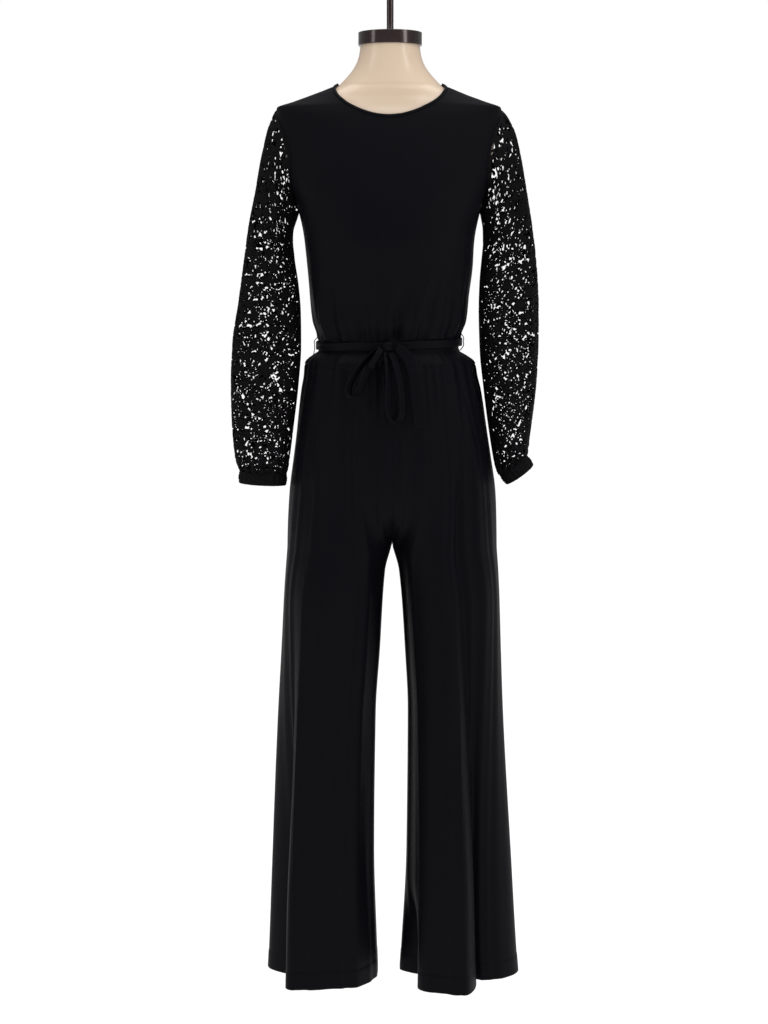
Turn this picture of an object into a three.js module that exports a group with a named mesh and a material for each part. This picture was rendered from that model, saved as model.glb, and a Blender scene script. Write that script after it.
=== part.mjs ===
// A long-sleeved jumpsuit with wide legs, worn by a limbless dress form that hangs from a rod.
// Millimetres, +Z up. The front faces -Y and +X is the garment's left side, which a viewer sees on
// the right. The origin is the top end of the rod, where the form is held up.
import * as THREE from 'three';

// Cloth
const JERSEY = 1.4;            // wall of the knitted jersey
const LACE = 1.8;              // wall of the corded lace in the sleeves
const ELASTIC = 2.4;           // wall of the gathered cuffs
const SEAM_GAP = 0.3;          // between two pieces that are sewn together
const DEGREE = Math.PI / 180;

// Heights of the main lines, down from the rod's top
const SIDE_NECK = -150;        // where the shoulder seam meets the neckline
const SHOULDER_TIP = -188.5;   // where the shoulder seam meets the sleeve
const UNDERARM = -352;
const BELT = -572;             // middle of the tie belt, at the waist
const WAIST_SEAM = -606;       // bodice meets trousers, below the belt
const CROTCH = -914;
const RISE_START = -800;       // where the rise seam starts to curve under
const LEGS_APART = -1010;      // where the two legs have their own round shape
const HEM = -1669;

// The dress form
const FORM_DROP = 2;           // how far its shoulders lie below the cloth's own line
const NECK_TOP = -86;
const CAP_HEIGHT = 22;
const CAP_RADIUS = 50.5;
const ROD_RADIUS = 5.6;

// Gathers: waves round the whole waist, and how far they stand out from the cloth
const GATHERS = 16;
const GATHER_HEIGHT = 1.5;

// Lace openings in each half of a sleeve
const GAPS_ACROSS = 4;
const GAPS_DOWN = 15;
const GAP_SHARE_ACROSS = 0.34; // part of the pitch that is open
const GAP_SHARE_DOWN = 0.32;
const ROW_SPREAD = 0.7;        // below 1, the rows of gaps are further apart at the armhole

const COLOURS = { jersey: 0x111013, lace: 0x0c0b0d, form: 0xcbb89c, metal: 0x3a2a2a };

// A table is written as its column names and one row for each height or fold
function table(names, rows) {
  return rows.map(row => Object.fromEntries(names.map((name, i) => [name, row[i]])));
}

// Cross-sections of the dressed body at height z: half width, middle, reach to the front and to the
// back, and squareness (2 is an ellipse)
const BODY = table(['z', 'half', 'middle', 'front', 'back', 'square'], [
  [-140, 80, 0, 61, 58, 2.1],
  [-150, 88, 0, 62, 60, 2.2],
  [-158, 106, 0, 64, 63, 2.2],
  [-168, 132, -1, 66, 68, 2.2],
  [-178, 160, -1, 69, 71, 2.3],
  [-187, 184, -2, 72, 74, 2.4],
  [-200, 185.5, -2, 77, 80, 2.5],
  [-230, 183, -2, 86, 90, 2.5],
  [-290, 172, -2, 101, 98, 2.5],
  [-355, 150, -1, 114, 98, 2.4],
  [-400, 141, -1, 119, 93, 2.3],
  [-450, 137, 0, 112, 86, 2.2],
  [-500, 131, -1, 104, 82, 2.2],
  [-535, 125, -1, 99, 80, 2.2],
  [-558, 117, -1.6, 90, 75, 2.2],
  [-572, 116, -1.6, 89, 74, 2.2],
  [-583, 117, -1.6, 89.5, 75, 2.2],
  [-592, 128, -1, 94, 82, 2.2],
  [-604, 139, 0, 99, 90, 2.2],
  [-625, 142, 1, 101, 97, 2.2],
  [-650, 148, 2, 103, 103, 2.2],
  [-700, 157, 3, 106, 113, 2.2],
  [-760, 166, 4, 107, 120, 2.3],
  [-820, 174, 4.4, 106, 122, 2.3],
  [-880, 177, 4, 106, 120, 2.3],
  [-1010, 182, 3.5, 104, 110, 2.3],
]);

// How far the form's own surface lies inside the dressed body
const FORM_EASE = table(['z', 'ease'], [
  [-150, 3.2], [-165, 4], [-187, 5.8], [-235, 7], [-355, 10], [-450, 12], [-540, 10], [-572, 5.5],
  [-583, 6], [-604, 24],
  [-650, 20], [-720, 11], [-815, 9], [-828, 16], [-838, 36],
]);

// The form's neck, above the shoulders
const FORM_NECK = table(['z', 'half', 'middle', 'front', 'back', 'square'], [
  [-86, 48.5, 0, 50, 48, 2],
  [-104, 50, 0, 51, 49, 2],
  [-122, 57, 0, 53, 51, 2],
  [-136, 68, 0, 56, 54, 2],
  [-144, 78, 0, 58, 56, 2.1],
]);

// Neckline height: turn is counted from the shoulder seam (0) to the middle (90)
const NECK_FRONT = table(['turn', 'z'], [
  [0, -150], [16, -152.5], [27, -158], [35.5, -168], [48, -183], [62.5, -196], [90, -206],
]);
const NECK_BACK = table(['turn', 'z'], [
  [0, -150], [20, -152], [45, -157], [90, -163],
]);
const BINDING_HEIGHT = 5;
const BINDING_WALL = 2.2;
const BINDING_PROUD = 0.5;
const BINDING_GAP = 1;         // measured straight up, so less where the neckline is steep

// Each leg below the crotch: where its inner and outer sides lie, its front and back reach from the
// middle of its depth, and its squareness
const LEG_DEPTH_MIDDLE = 6;
const LEGS = {
  right: table(['z', 'inner', 'outer', 'front', 'back', 'square'], [
    [-914, 3, -174, 110, 110, 2.4],
    [-957, -8, -178, 110, 106, 2.4],
    [-1096, -17, -186, 107, 98, 2.5],
    [-1202, -24, -192.5, 105, 94, 2.6],
    [-1453, -27, -205, 102, 88, 2.8],
    [-1635, -22, -213, 101, 86, 3],
    [-1669, -21, -215, 101, 86, 3],
  ]),
  left: table(['z', 'inner', 'outer', 'front', 'back', 'square'], [
    [-914, 4, 181, 110, 110, 2.4],
    [-957, 15.5, 185, 110, 106, 2.4],
    [-1096, 26, 190.5, 108, 98, 2.4],
    [-1202, 31, 195, 107, 94, 2.4],
    [-1453, 29, 211, 110, 90, 2.4],
    [-1635, 20, 223, 116, 90, 2.4],
    [-1669, 18, 226, 117, 90, 2.4],
  ]),
};

// Folds of the legs. turn runs round each leg: 0 at the inseam, 90 in front, 180 at the outer side
// and 270 behind. A fold spreads by before and after degrees each side of its line, and goes from
// nothing at from to its full height at to. A trough has a height below zero.
const LEG_FOLDS = {
  right: table(['turn', 'turnLow', 'before', 'after', 'from', 'to', 'height'], [
    [128, 143, 24, 40, -900, -1660, -56],
    [120, 121, 14, 12, -760, -1250, 5],
    [62, 66, 26, 26, -1050, -1660, -6],
    [34, 40, 22, 18, -640, -900, -4],
    [52, 58, 10, 10, -620, -760, 3],
    [300, 306, 26, 20, -900, -1660, -20],
    [222, 214, 20, 30, -1000, -1660, -30],
    [262, 262, 20, 20, -800, -1400, 6],
  ]),
  left: table(['turn', 'turnLow', 'before', 'after', 'from', 'to', 'height'], [
    [100, 116, 20, 58, -690, -1660, -58],
    [82, 86, 12, 10, -660, -1150, 7],
    [30, 32, 30, 22, -1480, -1668, -42],
    [66, 60, 16, 16, -900, -1500, 5],
    [36, 30, 20, 18, -640, -900, -4],
    [122, 128, 12, 14, -650, -820, 5],
    [300, 302, 24, 22, -950, -1660, -22],
    [226, 218, 22, 28, -1050, -1660, -26],
    [266, 264, 20, 20, -820, -1400, 6],
  ]),
};

// Folds of the bodice. turn runs round the body: 0 at the left side, 90 behind, 180 at the right
// side and 270 in front. Each grows from nothing at from to its full height at to.
const BODICE_FOLDS = table(['turn', 'turnLow', 'spread', 'from', 'to', 'height'], [
  [200, 200, 9, -380, -540, 3],
  [212, 208, 8, -390, -540, 3],
  [245, 245, 12, -420, -540, -3],
  [290, 277, 12, -420, -540, -3],
  [323, 311, 9, -380, -540, 3],
  [333, 335, 9, -390, -540, 3],
  [30, 28, 10, -400, -540, 3],
  [66, 70, 12, -420, -540, -3],
  [116, 110, 12, -420, -540, -3],
  [150, 152, 10, -400, -540, 3],
]);

// Heights of the bodice's rows, as they lie at the side seam
const BODICE_ROWS = [
  WAIST_SEAM + 1, -592, -583, -571, -558, -535, -490, -445, -400, -366, -352, -342, -322, -285, -240, -205,
  SHOULDER_TIP, -178, -168, -158, SIDE_NECK,
];
const TROUSER_ROWS = [
  WAIST_SEAM - SEAM_GAP, -622, -645, -690, -745, -800, -845, -882, -914, -945, -1000, -1090, -1200, -1320, -1440,
  -1550, -1625, HEM,
];
const FORM_ROWS = [
  NECK_TOP, -104, -122, -136, -146, -155, -165, -176, -188, -205, -240, -300, -360, -430, -500, -555,
  -572, -583, -610, -680, -760, -815, -828, -838,
];

// Sleeves, from the armhole to the cuff. Each row is one ring: its outer and its inner point, both
// counted out from the middle of the body, half its depth, and how far forward it lies.
const SLEEVES = {
  right: table(['row', 'outX', 'outZ', 'inX', 'inZ', 'deep', 'forward'], [
    [0, 187, -190, 150, -352, 47, 0],
    [1, 193, -198, 153, -364, 45, 0],
    [2, 201, -222, 157, -374, 43, 1],
    [3, 211, -266, 160, -387, 41, 2],
    [4, 222, -323, 161, -407, 38, 4],
    [5, 235, -382, 159, -436, 36, 6],
    [6, 244, -440, 154, -474, 36, 8],
    [7, 253, -505, 150, -522, 37, 10],
    [8, 262, -570, 149, -580, 38, 12],
    [9, 264.5, -640, 153, -645, 38, 14],
    [10, 263, -710, 161, -712, 37, 16],
    [11, 259, -758, 168, -760, 34, 17],
    [12, 251, -784, 175, -788, 28, 18],
  ]),
  left: table(['row', 'outX', 'outZ', 'inX', 'inZ', 'deep', 'forward'], [
    [0, 184, -190, 148, -352, 47, 0],
    [1, 192, -198, 151, -364, 45, 0],
    [2, 204, -222, 153, -374, 43, 1],
    [3, 216, -266, 155, -387, 41, 2],
    [4, 227, -323, 156, -407, 39, 4],
    [5, 236, -382, 153, -436, 38, 6],
    [6, 242, -440, 149, -474, 38, 8],
    [7, 245.5, -505, 147, -522, 38, 10],
    [8, 246, -570, 149, -580, 39, 12],
    [9, 244, -636, 157, -648, 40, 14],
    [10, 239, -694, 167, -714, 40, 16],
    [11, 234, -734, 176, -764, 38, 17],
    [12, 228, -758, 184, -790, 32, 18],
  ]),
};
const ARMHOLE_INSET = 17;      // degrees that the armhole cuts into the front and into the back
const ARMHOLE_GAP = 1.8;       // clears the corners of both edges
const ARMHOLE_BLEND = 1.9;     // sleeve rows over which the armhole's shape turns into rings
const ARMHOLE_SLIDE = 0.44;    // how far the armhole's points lie below those of a plain ring
const CUFF_LENGTH = 24;
const CUFF_PLEATS = 12;
const CUFF_PLEAT_HEIGHT = 0.8;
const CUFF_SHRINK = 0.93;

// The tie belt
const BELT_WIDTH = 12.5;
const BELT_WALL = 2.4;
const BELT_OUT = 5.4;            // outside of the belt from the bodice's own line
const BELT_TILT = 3;           // how much higher it lies at the garment's left side
const LOOP_OUT = 3.2;          // how far a belt loop stands out from the belt
const LOOP_WALL = 1.4;
const LOOP_WIDTH = 7;
const LOOP_TALL = 20;
const KNOT = { x: -4, y: -103, z: -572, width: 22, depth: 17, height: 18 };
const STRAP_WALL = 2;

// Bow straps: the line along the middle of each strap, its width, and the direction across it
const STRAPS = {
  bow_loop_right: {
    width: 11,
    across: [0.75, 0.65, 0.1],
    path: [[-15.4, -102.5, -574.4], [-27, -107, -583], [-42, -110.5, -597], [-57, -112, -616],
      [-67, -112.5, -637], [-66, -112.5, -648], [-58, -112.5, -650], [-50, -112.5, -641],
      [-43, -112.5, -622], [-35, -111, -604], [-25, -108, -594], [-12, -104, -580.5]],
  },
  bow_loop_left: {
    width: 11,
    across: [0.75, 0.65, 0],
    path: [[-6.5, -107.3, -580.7], [-4.5, -113, -598], [-3, -116, -625], [-4, -117, -655],
      [-2, -117, -680], [5, -117, -691], [14, -117, -690], [19, -117, -680],
      [19, -117, -655], [15, -116, -625], [9, -113.5, -600], [1.5, -107.5, -582]],
  },
  bow_tail_left: {
    width: 15,
    across: [1, -0.25, 0.15],
    path: [[9.4, -104.5, -572], [23, -110, -583], [32, -113, -597], [38, -114, -618],
      [41, -115, -645], [44, -116, -672], [49, -117, -702]],
  },
  bow_tail_right: {
    width: 8,
    across: [0.75, 0.3, -0.6],
    path: [[-14, -109.8, -574.6], [-20, -115, -584], [-27, -117, -595], [-33, -117, -605]],
  },
};

// The entry at the back of the neck: a slit in the middle seam with one button and its loop
const SLIT_LENGTH = 110;
const SLIT_WIDTH = 4;
const BUTTON = { radius: 5, height: 2.6, x: 8.5, z: -170 };
const BUTTON_LOOP = { wire: 1.2, slack: 1.4 };

// Value of one named column at a height, by a smooth curve that never overshoots its rows
function at(rows, column, value, key = 'z') {
  const last = rows.length - 1;
  const sign = rows[last][key] > rows[0][key] ? 1 : -1;
  const reach = row => sign * rows[row][key];
  if (sign * value <= reach(0)) return rows[0][column];
  if (sign * value >= reach(last)) return rows[last][column];
  let i = 0;
  while (reach(i + 1) < sign * value) i += 1;
  const slope = j => (rows[j + 1][column] - rows[j][column]) / (reach(j + 1) - reach(j));
  const tangent = j => {
    if (j === 0) return slope(0);
    if (j === last) return slope(last - 1);
    const before = slope(j - 1);
    const after = slope(j);
    return before * after <= 0 ? 0 : 2 * before * after / (before + after);
  };
  const step = reach(i + 1) - reach(i);
  const t = (sign * value - reach(i)) / step;
  const t2 = t * t;
  const t3 = t2 * t;
  return (2 * t3 - 3 * t2 + 1) * rows[i][column] + (t3 - 2 * t2 + t) * step * tangent(i)
    + (3 * t2 - 2 * t3) * rows[i + 1][column] + (t3 - t2) * step * tangent(i + 1);
}

const clamp = value => Math.min(1, Math.max(0, value));
const mix = (a, b, t) => a + (b - a) * t;
function smooth(from, to, value) {
  const t = clamp((value - from) / (to - from));
  return t * t * (3 - 2 * t);
}
function bump(distance, before, after) {
  const spread = distance < 0 ? before : after;
  return Math.abs(distance) >= spread ? 0 : 0.5 + 0.5 * Math.cos(Math.PI * distance / spread);
}

// Distance from the middle to a rounded outline in one direction
function reach(cosine, sine, half, deep, square) {
  const sum = (Math.abs(cosine) / half) ** square + (Math.abs(sine) / deep) ** square;
  return sum ** (-1 / square);
}

// Point of a body outline, turn degrees round from the garment's left side
function outline(rows, turn, z, ease = 0) {
  const cosine = Math.cos(turn * DEGREE);
  const sine = Math.sin(turn * DEGREE);
  const deep = at(rows, sine < 0 ? 'front' : 'back', z) - ease;
  const far = reach(cosine, sine, at(rows, 'half', z) - ease, deep, at(rows, 'square', z));
  return new THREE.Vector3(at(rows, 'middle', z) + far * cosine, far * sine, z);
}

// Even gathers would look moulded, so their spacing drifts round the body
function gather(turn, z) {
  const drift = 1.1 * Math.sin(3 * turn * DEGREE) + 0.6 * Math.sin(5 * turn * DEGREE + 1);
  const wave = Math.cos(GATHERS * turn * DEGREE + drift);
  const above = smooth(-470, -555, z) * (1 - smooth(-560, -574, z));
  const below = smooth(-580, -600, z) * (1 - smooth(-620, -740, z));
  return GATHER_HEIGHT * wave * (above + below);
}

// Surface of the bodice
function bodicePoint(turn, z) {
  const point = outline(BODY, turn, z);
  const flat = new THREE.Vector3(Math.cos(turn * DEGREE), Math.sin(turn * DEGREE), 0);
  let out = gather(turn, z);
  for (const fold of BODICE_FOLDS) {
    const grown = smooth(fold.from, fold.to, z) * (1 - smooth(-556, -572, z));
    const line = mix(fold.turn, fold.turnLow, smooth(fold.from, fold.to, z));
    out += fold.height * grown * bump(turn - line, fold.spread, fold.spread);
  }
  return point.addScaledVector(flat, out);
}

// Half of the trousers in the plane, before its folds. side is 1 for the garment's left leg.
function legBase(side, turn, z) {
  const rows = side > 0 ? LEGS.left : LEGS.right;
  const isFront = turn <= 180;
  const square = at(BODY, 'square', z);
  const bodyAngle = turn / 2 * DEGREE;
  const bodyDeep = at(BODY, isFront ? 'front' : 'back', z);
  const sideways = Math.sin(bodyAngle);
  const ahead = -Math.cos(bodyAngle);
  const bodyFar = reach(sideways, ahead, at(BODY, 'half', z), bodyDeep, square);
  const body = {
    x: at(BODY, 'middle', z) + side * bodyFar * sideways,
    y: bodyFar * ahead,
  };
  const inner = at(rows, 'inner', z);
  const outer = at(rows, 'outer', z);
  const legDeep = at(rows, isFront ? 'front' : 'back', z);
  const cosine = Math.cos(turn * DEGREE);
  const sine = Math.sin(turn * DEGREE);
  const legFar = reach(cosine, sine, Math.abs(outer - inner) / 2, legDeep, at(rows, 'square', z));
  const leg = {
    x: (inner + outer) / 2 - side * legFar * cosine,
    y: LEG_DEPTH_MIDDLE - legFar * sine,
  };
  const fromInseam = Math.min(turn, 360 - turn);
  const inseam = 1 - smooth(0, 55, fromInseam);
  const curve = clamp((RISE_START - z) / (RISE_START - CROTCH)) ** 3;
  const share = mix(smooth(RISE_START, LEGS_APART, z), curve, inseam);
  return new THREE.Vector2(mix(body.x, leg.x, share), mix(body.y, leg.y, share));
}

// Surface of the trousers
function legPoint(side, turn, z) {
  const base = legBase(side, turn, z);
  const before = legBase(side, Math.max(turn - 1, 0), z);
  const after = legBase(side, Math.min(turn + 1, 360), z);
  const outward = new THREE.Vector2(side * (after.y - before.y), -side * (after.x - before.x));
  outward.normalize();
  const fromInseam = Math.min(turn, 360 - turn);
  let out = gather(side > 0 ? 270 + turn / 2 : 270 - turn / 2, z);
  for (const fold of side > 0 ? LEG_FOLDS.left : LEG_FOLDS.right) {
    const grown = smooth(fold.from, fold.to, z);
    const line = mix(fold.turn, fold.turnLow, grown);
    out += fold.height * grown * bump(turn - line, fold.before, fold.after);
  }
  out *= smooth(0, 14, fromInseam);
  return new THREE.Vector3(base.x + outward.x * out, base.y + outward.y * out, z);
}

// Closed wall from a grid of outer points. surface(u, v) gives a point; its outward side is the one
// that faces the viewer when u runs to the right and v runs up. open(i, j) leaves a cell out. With
// core(u, v), the wall thickens towards that point and not square to its own face.
function wall(surface, us, vs, thick, { round = false, proud = 0, open = () => false, core } = {}) {
  const small = 1e-3;
  const columns = round ? us.length - 1 : us.length;
  const outer = [];
  const inner = [];
  for (const v of vs) {
    for (const u of us.slice(0, columns)) {
      const point = surface(u, v);
      const alongU = surface(u + small, v).sub(surface(u - small, v));
      const alongV = surface(u, v + small).sub(surface(u, v - small));
      const away = core ? point.clone().sub(core(u, v)) : alongU.cross(alongV);
      away.normalize();
      outer.push(point.clone().addScaledVector(away, proud));
      inner.push(point.clone().addScaledVector(away, proud - thick));
    }
  }
  const points = outer.concat(inner);
  const back = outer.length;
  const faces = [];
  const quad = (a, b, c, d) => faces.push(a, b, c, a, c, d);
  const cellsU = us.length - 1;
  const cellsV = vs.length - 1;
  const index = (i, j) => j * columns + (round ? i % columns : i);
  const solid = (i, j) => {
    if (j < 0 || j >= cellsV) return false;
    if (!round && (i < 0 || i >= cellsU)) return false;
    return !open((i + cellsU) % cellsU, j);
  };
  for (let j = 0; j < cellsV; j += 1) {
    for (let i = 0; i < cellsU; i += 1) {
      if (!solid(i, j)) continue;
      const a = index(i, j);
      const b = index(i + 1, j);
      const c = index(i + 1, j + 1);
      const d = index(i, j + 1);
      quad(a, b, c, d);
      quad(back + a, back + d, back + c, back + b);
      if (!solid(i, j - 1)) quad(back + a, back + b, b, a);
      if (!solid(i + 1, j)) quad(back + b, back + c, c, b);
      if (!solid(i, j + 1)) quad(back + c, back + d, d, c);
      if (!solid(i - 1, j)) quad(back + d, back + a, a, d);
    }
  }
  return solidFrom(points, faces);
}

// Geometry from points and triangles, without the points that no triangle uses
function solidFrom(points, faces) {
  const used = new Map();
  const positions = [];
  const indices = faces.map(old => {
    if (!used.has(old)) {
      used.set(old, used.size);
      positions.push(...points[old].toArray());
    }
    return used.get(old);
  });
  const geometry = new THREE.BufferGeometry();
  geometry.setAttribute('position', new THREE.Float32BufferAttribute(positions, 3));
  geometry.setIndex(indices);
  geometry.computeVertexNormals();
  return geometry;
}

// Closed solid through rings of points, with a flat or peaked face at each end
function loft(rings) {
  const count = rings[0].length;
  const points = rings.flat();
  const faces = [];
  for (let j = 0; j < rings.length - 1; j += 1) {
    for (let i = 0; i < count; i += 1) {
      const a = j * count + i;
      const b = j * count + (i + 1) % count;
      faces.push(a, b, b + count, a, b + count, a + count);
    }
  }
  const first = points.length;
  const middle = ring => {
    const sum = ring.reduce((total, point) => total.add(point), new THREE.Vector3());
    return sum.divideScalar(ring.length);
  };
  points.push(middle(rings[0]), middle(rings[rings.length - 1]));
  const top = (rings.length - 1) * count;
  for (let i = 0; i < count; i += 1) {
    const next = (i + 1) % count;
    faces.push(first, next, i);
    faces.push(first + 1, top + i, top + next);
  }
  return solidFrom(points, faces);
}

// Flat strap along a path. across gives the direction of its width.
function strap(path, width, thick, across, steps) {
  const curve = new THREE.CatmullRomCurve3(path.map(point => new THREE.Vector3(...point)));
  const wide = new THREE.Vector3(...across).normalize();
  const rings = [];
  for (let i = 0; i <= steps; i += 1) {
    const centre = curve.getPointAt(i / steps);
    const along = curve.getTangentAt(i / steps);
    const flat = wide.clone().addScaledVector(along, -wide.dot(along)).normalize();
    const out = along.clone().cross(flat);
    const corner = (a, b) => centre.clone().addScaledVector(flat, a * width / 2)
      .addScaledVector(out, b * thick / 2);
    rings.push([corner(-1, -1), corner(1, -1), corner(1, 1), corner(-1, 1)]);
  }
  return loft(rings);
}

const even = (count, from = 0, to = 1) => (
  Array.from({ length: count + 1 }, (_, i) => mix(from, to, i / count)));
const group = new THREE.Group();

function piece(name, geometry, colour, roughness = 0.8, metalness = 0) {
  const material = new THREE.MeshStandardMaterial({ color: colour, roughness, metalness });
  const mesh = new THREE.Mesh(geometry, material);
  mesh.name = name;
  group.add(mesh);
}

// Degrees that the armhole takes off each side of the front and of the back at height z
function armholeInset(z) {
  const t = clamp((z - UNDERARM) / (SHOULDER_TIP - UNDERARM));
  return ARMHOLE_INSET * Math.sin(Math.PI * t) ** 0.75;
}

// Degrees that the slit in the middle of the back takes off each side of it
function slitInset(z) {
  const low = at(NECK_BACK, 'z', 90, 'turn') - SLIT_LENGTH;
  return SLIT_WIDTH / 2 / at(BODY, 'back', z) / DEGREE * smooth(low, low + SLIT_LENGTH / 3, z);
}

// Height of the neckline, turn degrees round
function necklineHeight(turn) {
  const whole = ((turn % 360) + 360) % 360;
  const fromSeam = whole % 180 > 90 ? 180 - whole % 180 : whole % 180;
  return at(whole > 180 ? NECK_FRONT : NECK_BACK, 'z', fromSeam, 'turn');
}

// Bodice panel between two turns. seamFrom and seamTo say which edges follow an armhole.
function bodicePanel(name, from, to, seamFrom, seamTo, columns) {
  const low = BODICE_ROWS[0];
  const high = BODICE_ROWS[BODICE_ROWS.length - 1];
  const surface = (u, v) => {
    const along = clamp((v - low) / (high - low));
    const top = necklineHeight(mix(from, to, clamp(u)));
    const z = v > high ? top + (v - high) : mix(low, top, along);
    const gap = SEAM_GAP / 2 / at(BODY, 'half', z) / DEGREE;
    const start = from + (seamFrom ? armholeInset(z) : slitInset(z)) + gap;
    const end = to - (seamTo ? armholeInset(z) : slitInset(z)) - gap;
    return bodicePoint(mix(start, end, u), v < low ? v : z);
  };
  piece(name, wall(surface, even(columns), BODICE_ROWS, JERSEY), COLOURS.jersey);
}

function addBodice() {
  bodicePanel('bodice_front', 180, 360, true, true, 20);
  bodicePanel('bodice_back_left', 0, 90, true, false, 10);
  bodicePanel('bodice_back_right', 90, 180, false, true, 10);
}

function addNeckBinding() {
  const surface = (turn, v) => outline(BODY, turn, necklineHeight(turn) + BINDING_GAP + v);
  const geometry = wall(surface, even(40, 0, 360), [0, BINDING_HEIGHT], BINDING_WALL,
    { round: true, proud: BINDING_PROUD });
  piece('neck_binding', geometry, COLOURS.jersey);
}

// Button on the left back panel, and the thread loop that comes to it from the right one
function addNeckButton() {
  const lowest = BUTTON.z - BUTTON.radius - BUTTON_LOOP.slack - BUTTON_LOOP.wire;
  const back = at(BODY, 'back', lowest) + SEAM_GAP;
  const button = new THREE.CylinderGeometry(BUTTON.radius - 0.7, BUTTON.radius, BUTTON.height, 20);
  button.translate(BUTTON.x, back + BUTTON.height / 2, BUTTON.z);
  piece('neck_button', button, COLOURS.jersey, 0.35);
  const around = BUTTON.radius + BUTTON_LOOP.slack;
  const depth = back + BUTTON_LOOP.wire / 2 + SEAM_GAP;
  const path = [[-SLIT_WIDTH, depth, BUTTON.z + 2.2]];
  for (let turn = 130; turn >= -130; turn -= 20) {
    path.push([BUTTON.x + around * Math.cos(turn * DEGREE), depth,
      BUTTON.z + around * Math.sin(turn * DEGREE)]);
  }
  path.push([-SLIT_WIDTH, depth, BUTTON.z - 2.2]);
  const wire = BUTTON_LOOP.wire;
  piece('neck_button_loop', strap(path, wire, wire, [0, 1, 0], 28), COLOURS.jersey);
}

// Trouser panel of one leg, from turn from to turn to
function trouserPanel(name, side, from, to, columns) {
  const surface = (u, v) => {
    const gap = SEAM_GAP / 2 / 90 / DEGREE;
    const turn = mix(from + gap, to - gap, side > 0 ? u : 1 - u);
    const point = legPoint(side, turn, v);
    const seam = at(BODY, 'middle', Math.max(v, CROTCH));
    const clear = side * (point.x - seam);
    if (clear < SEAM_GAP / 2) point.x = seam + side * SEAM_GAP / 2;
    return point;
  };
  const rows = TROUSER_ROWS.slice().reverse();
  piece(name, wall(surface, even(columns), rows, JERSEY), COLOURS.jersey);
}

function addTrousers() {
  trouserPanel('trouser_front_right', -1, 0, 180, 14);
  trouserPanel('trouser_front_left', 1, 0, 180, 14);
  trouserPanel('trouser_back_right', -1, 180, 360, 11);
  trouserPanel('trouser_back_left', 1, 180, 360, 11);
}

// Point of a sleeve. turn is 0 at the outer fold, 90 in front, 180 at the underarm and 270 behind;
// row runs from 0 at the armhole to 12 at the cuff.
function sleevePoint(side, turn, row) {
  const rows = side > 0 ? SLEEVES.left : SLEEVES.right;
  const value = column => at(rows, column, row, 'row');
  const cosine = Math.cos(turn * DEGREE);
  const sine = Math.sin(turn * DEGREE);
  const x = mix(value('inX'), value('outX'), 0.5 + 0.5 * cosine);
  const z = mix(value('inZ'), value('outZ'), 0.5 + 0.5 * cosine);
  const ring = new THREE.Vector3(side * x, -value('forward') - value('deep') * sine, z);
  const share = 1 - clamp(row / ARMHOLE_BLEND);
  const up = 0.5 + 0.5 * cosine;
  const height = mix(UNDERARM, SHOULDER_TIP, up - ARMHOLE_SLIDE * up * (1 - up));
  const inset = armholeInset(height) * (sine < 0 ? 1 : -1);
  const bodyTurn = side > 0 ? inset : 180 - inset;
  const armhole = outline(BODY, bodyTurn, height);
  armhole.x += side * ARMHOLE_GAP;
  return ring.lerp(armhole, share);
}

// Middle of a sleeve's ring
function sleeveMiddle(side, row) {
  const [outer, front, inner, back] = [0, 90, 180, 270].map(turn => sleevePoint(side, turn, row));
  const middle = outer.add(inner).multiplyScalar(0.5);
  middle.y = (front.y + back.y) / 2;
  return middle;
}

// Cell edges along one side of the lace: bars and gaps in turn, starting and ending with a bar
function laceEdges(gaps, share) {
  const edges = [0];
  for (let k = 0; k < gaps; k += 1) {
    edges.push((k + 0.5 - share / 2) / gaps, (k + 0.5 + share / 2) / gaps);
  }
  edges.push(1);
  return edges;
}

function sleeveHalf(name, side, from, to) {
  const across = laceEdges(GAPS_ACROSS, GAP_SHARE_ACROSS);
  const down = laceEdges(GAPS_DOWN, GAP_SHARE_DOWN);
  const rowAt = (u, v) => {
    const shift = 0.012 * Math.sin(23 * u + 9 * v) * Math.sin(Math.PI * v);
    return 12 * clamp(1 - v - shift) ** ROW_SPREAD;
  };
  const surface = (u, v) => {
    const sway = 0.02 * Math.sin(41 * v) * Math.sin(Math.PI * u);
    const gap = SEAM_GAP / 30 / DEGREE;
    const turn = mix(from + gap, to - gap, side > 0 ? 1 - u - sway : u + sway);
    return sleevePoint(side, turn, rowAt(u, v));
  };
  const open = (i, j) => i % 2 === 1 && j % 2 === 1;
  const core = (u, v) => sleeveMiddle(side, rowAt(u, v));
  const geometry = wall(surface, across, down, LACE, { open, core });
  piece(name, geometry, COLOURS.lace, 0.9);
}

function addSleeves() {
  sleeveHalf('sleeve_right_front', -1, 0, 180);
  sleeveHalf('sleeve_left_front', 1, 0, 180);
  sleeveHalf('sleeve_right_back', -1, 180, 360);
  sleeveHalf('sleeve_left_back', 1, 180, 360);
}

// Elastic cuff that carries on from the sleeve's last ring, a little narrower
function cuff(name, side) {
  const slope = new THREE.Vector3(0, 0, -1);
  const ends = [0, 180].map(turn => sleevePoint(side, turn, 12));
  const middle = ends[0].clone().add(ends[1]).multiplyScalar(0.5);
  const over = ends[0].clone().sub(ends[1]).normalize();
  slope.addScaledVector(over, -slope.dot(over)).normalize();
  const surface = (u, v) => {
    const turn = side > 0 ? -u : u;
    const rim = sleevePoint(side, turn, 12);
    const from = rim.clone().sub(middle);
    const pleat = CUFF_PLEAT_HEIGHT * Math.cos(CUFF_PLEATS * u * DEGREE);
    const size = CUFF_SHRINK + pleat / from.length();
    return middle.clone().addScaledVector(from, size).addScaledVector(slope, SEAM_GAP + 0.4 - v);
  };
  const rows = [-CUFF_LENGTH, -CUFF_LENGTH / 2, 0];
  piece(name, wall(surface, even(24, 0, 360), rows, ELASTIC, { round: true }), COLOURS.lace, 0.9);
}

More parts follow.
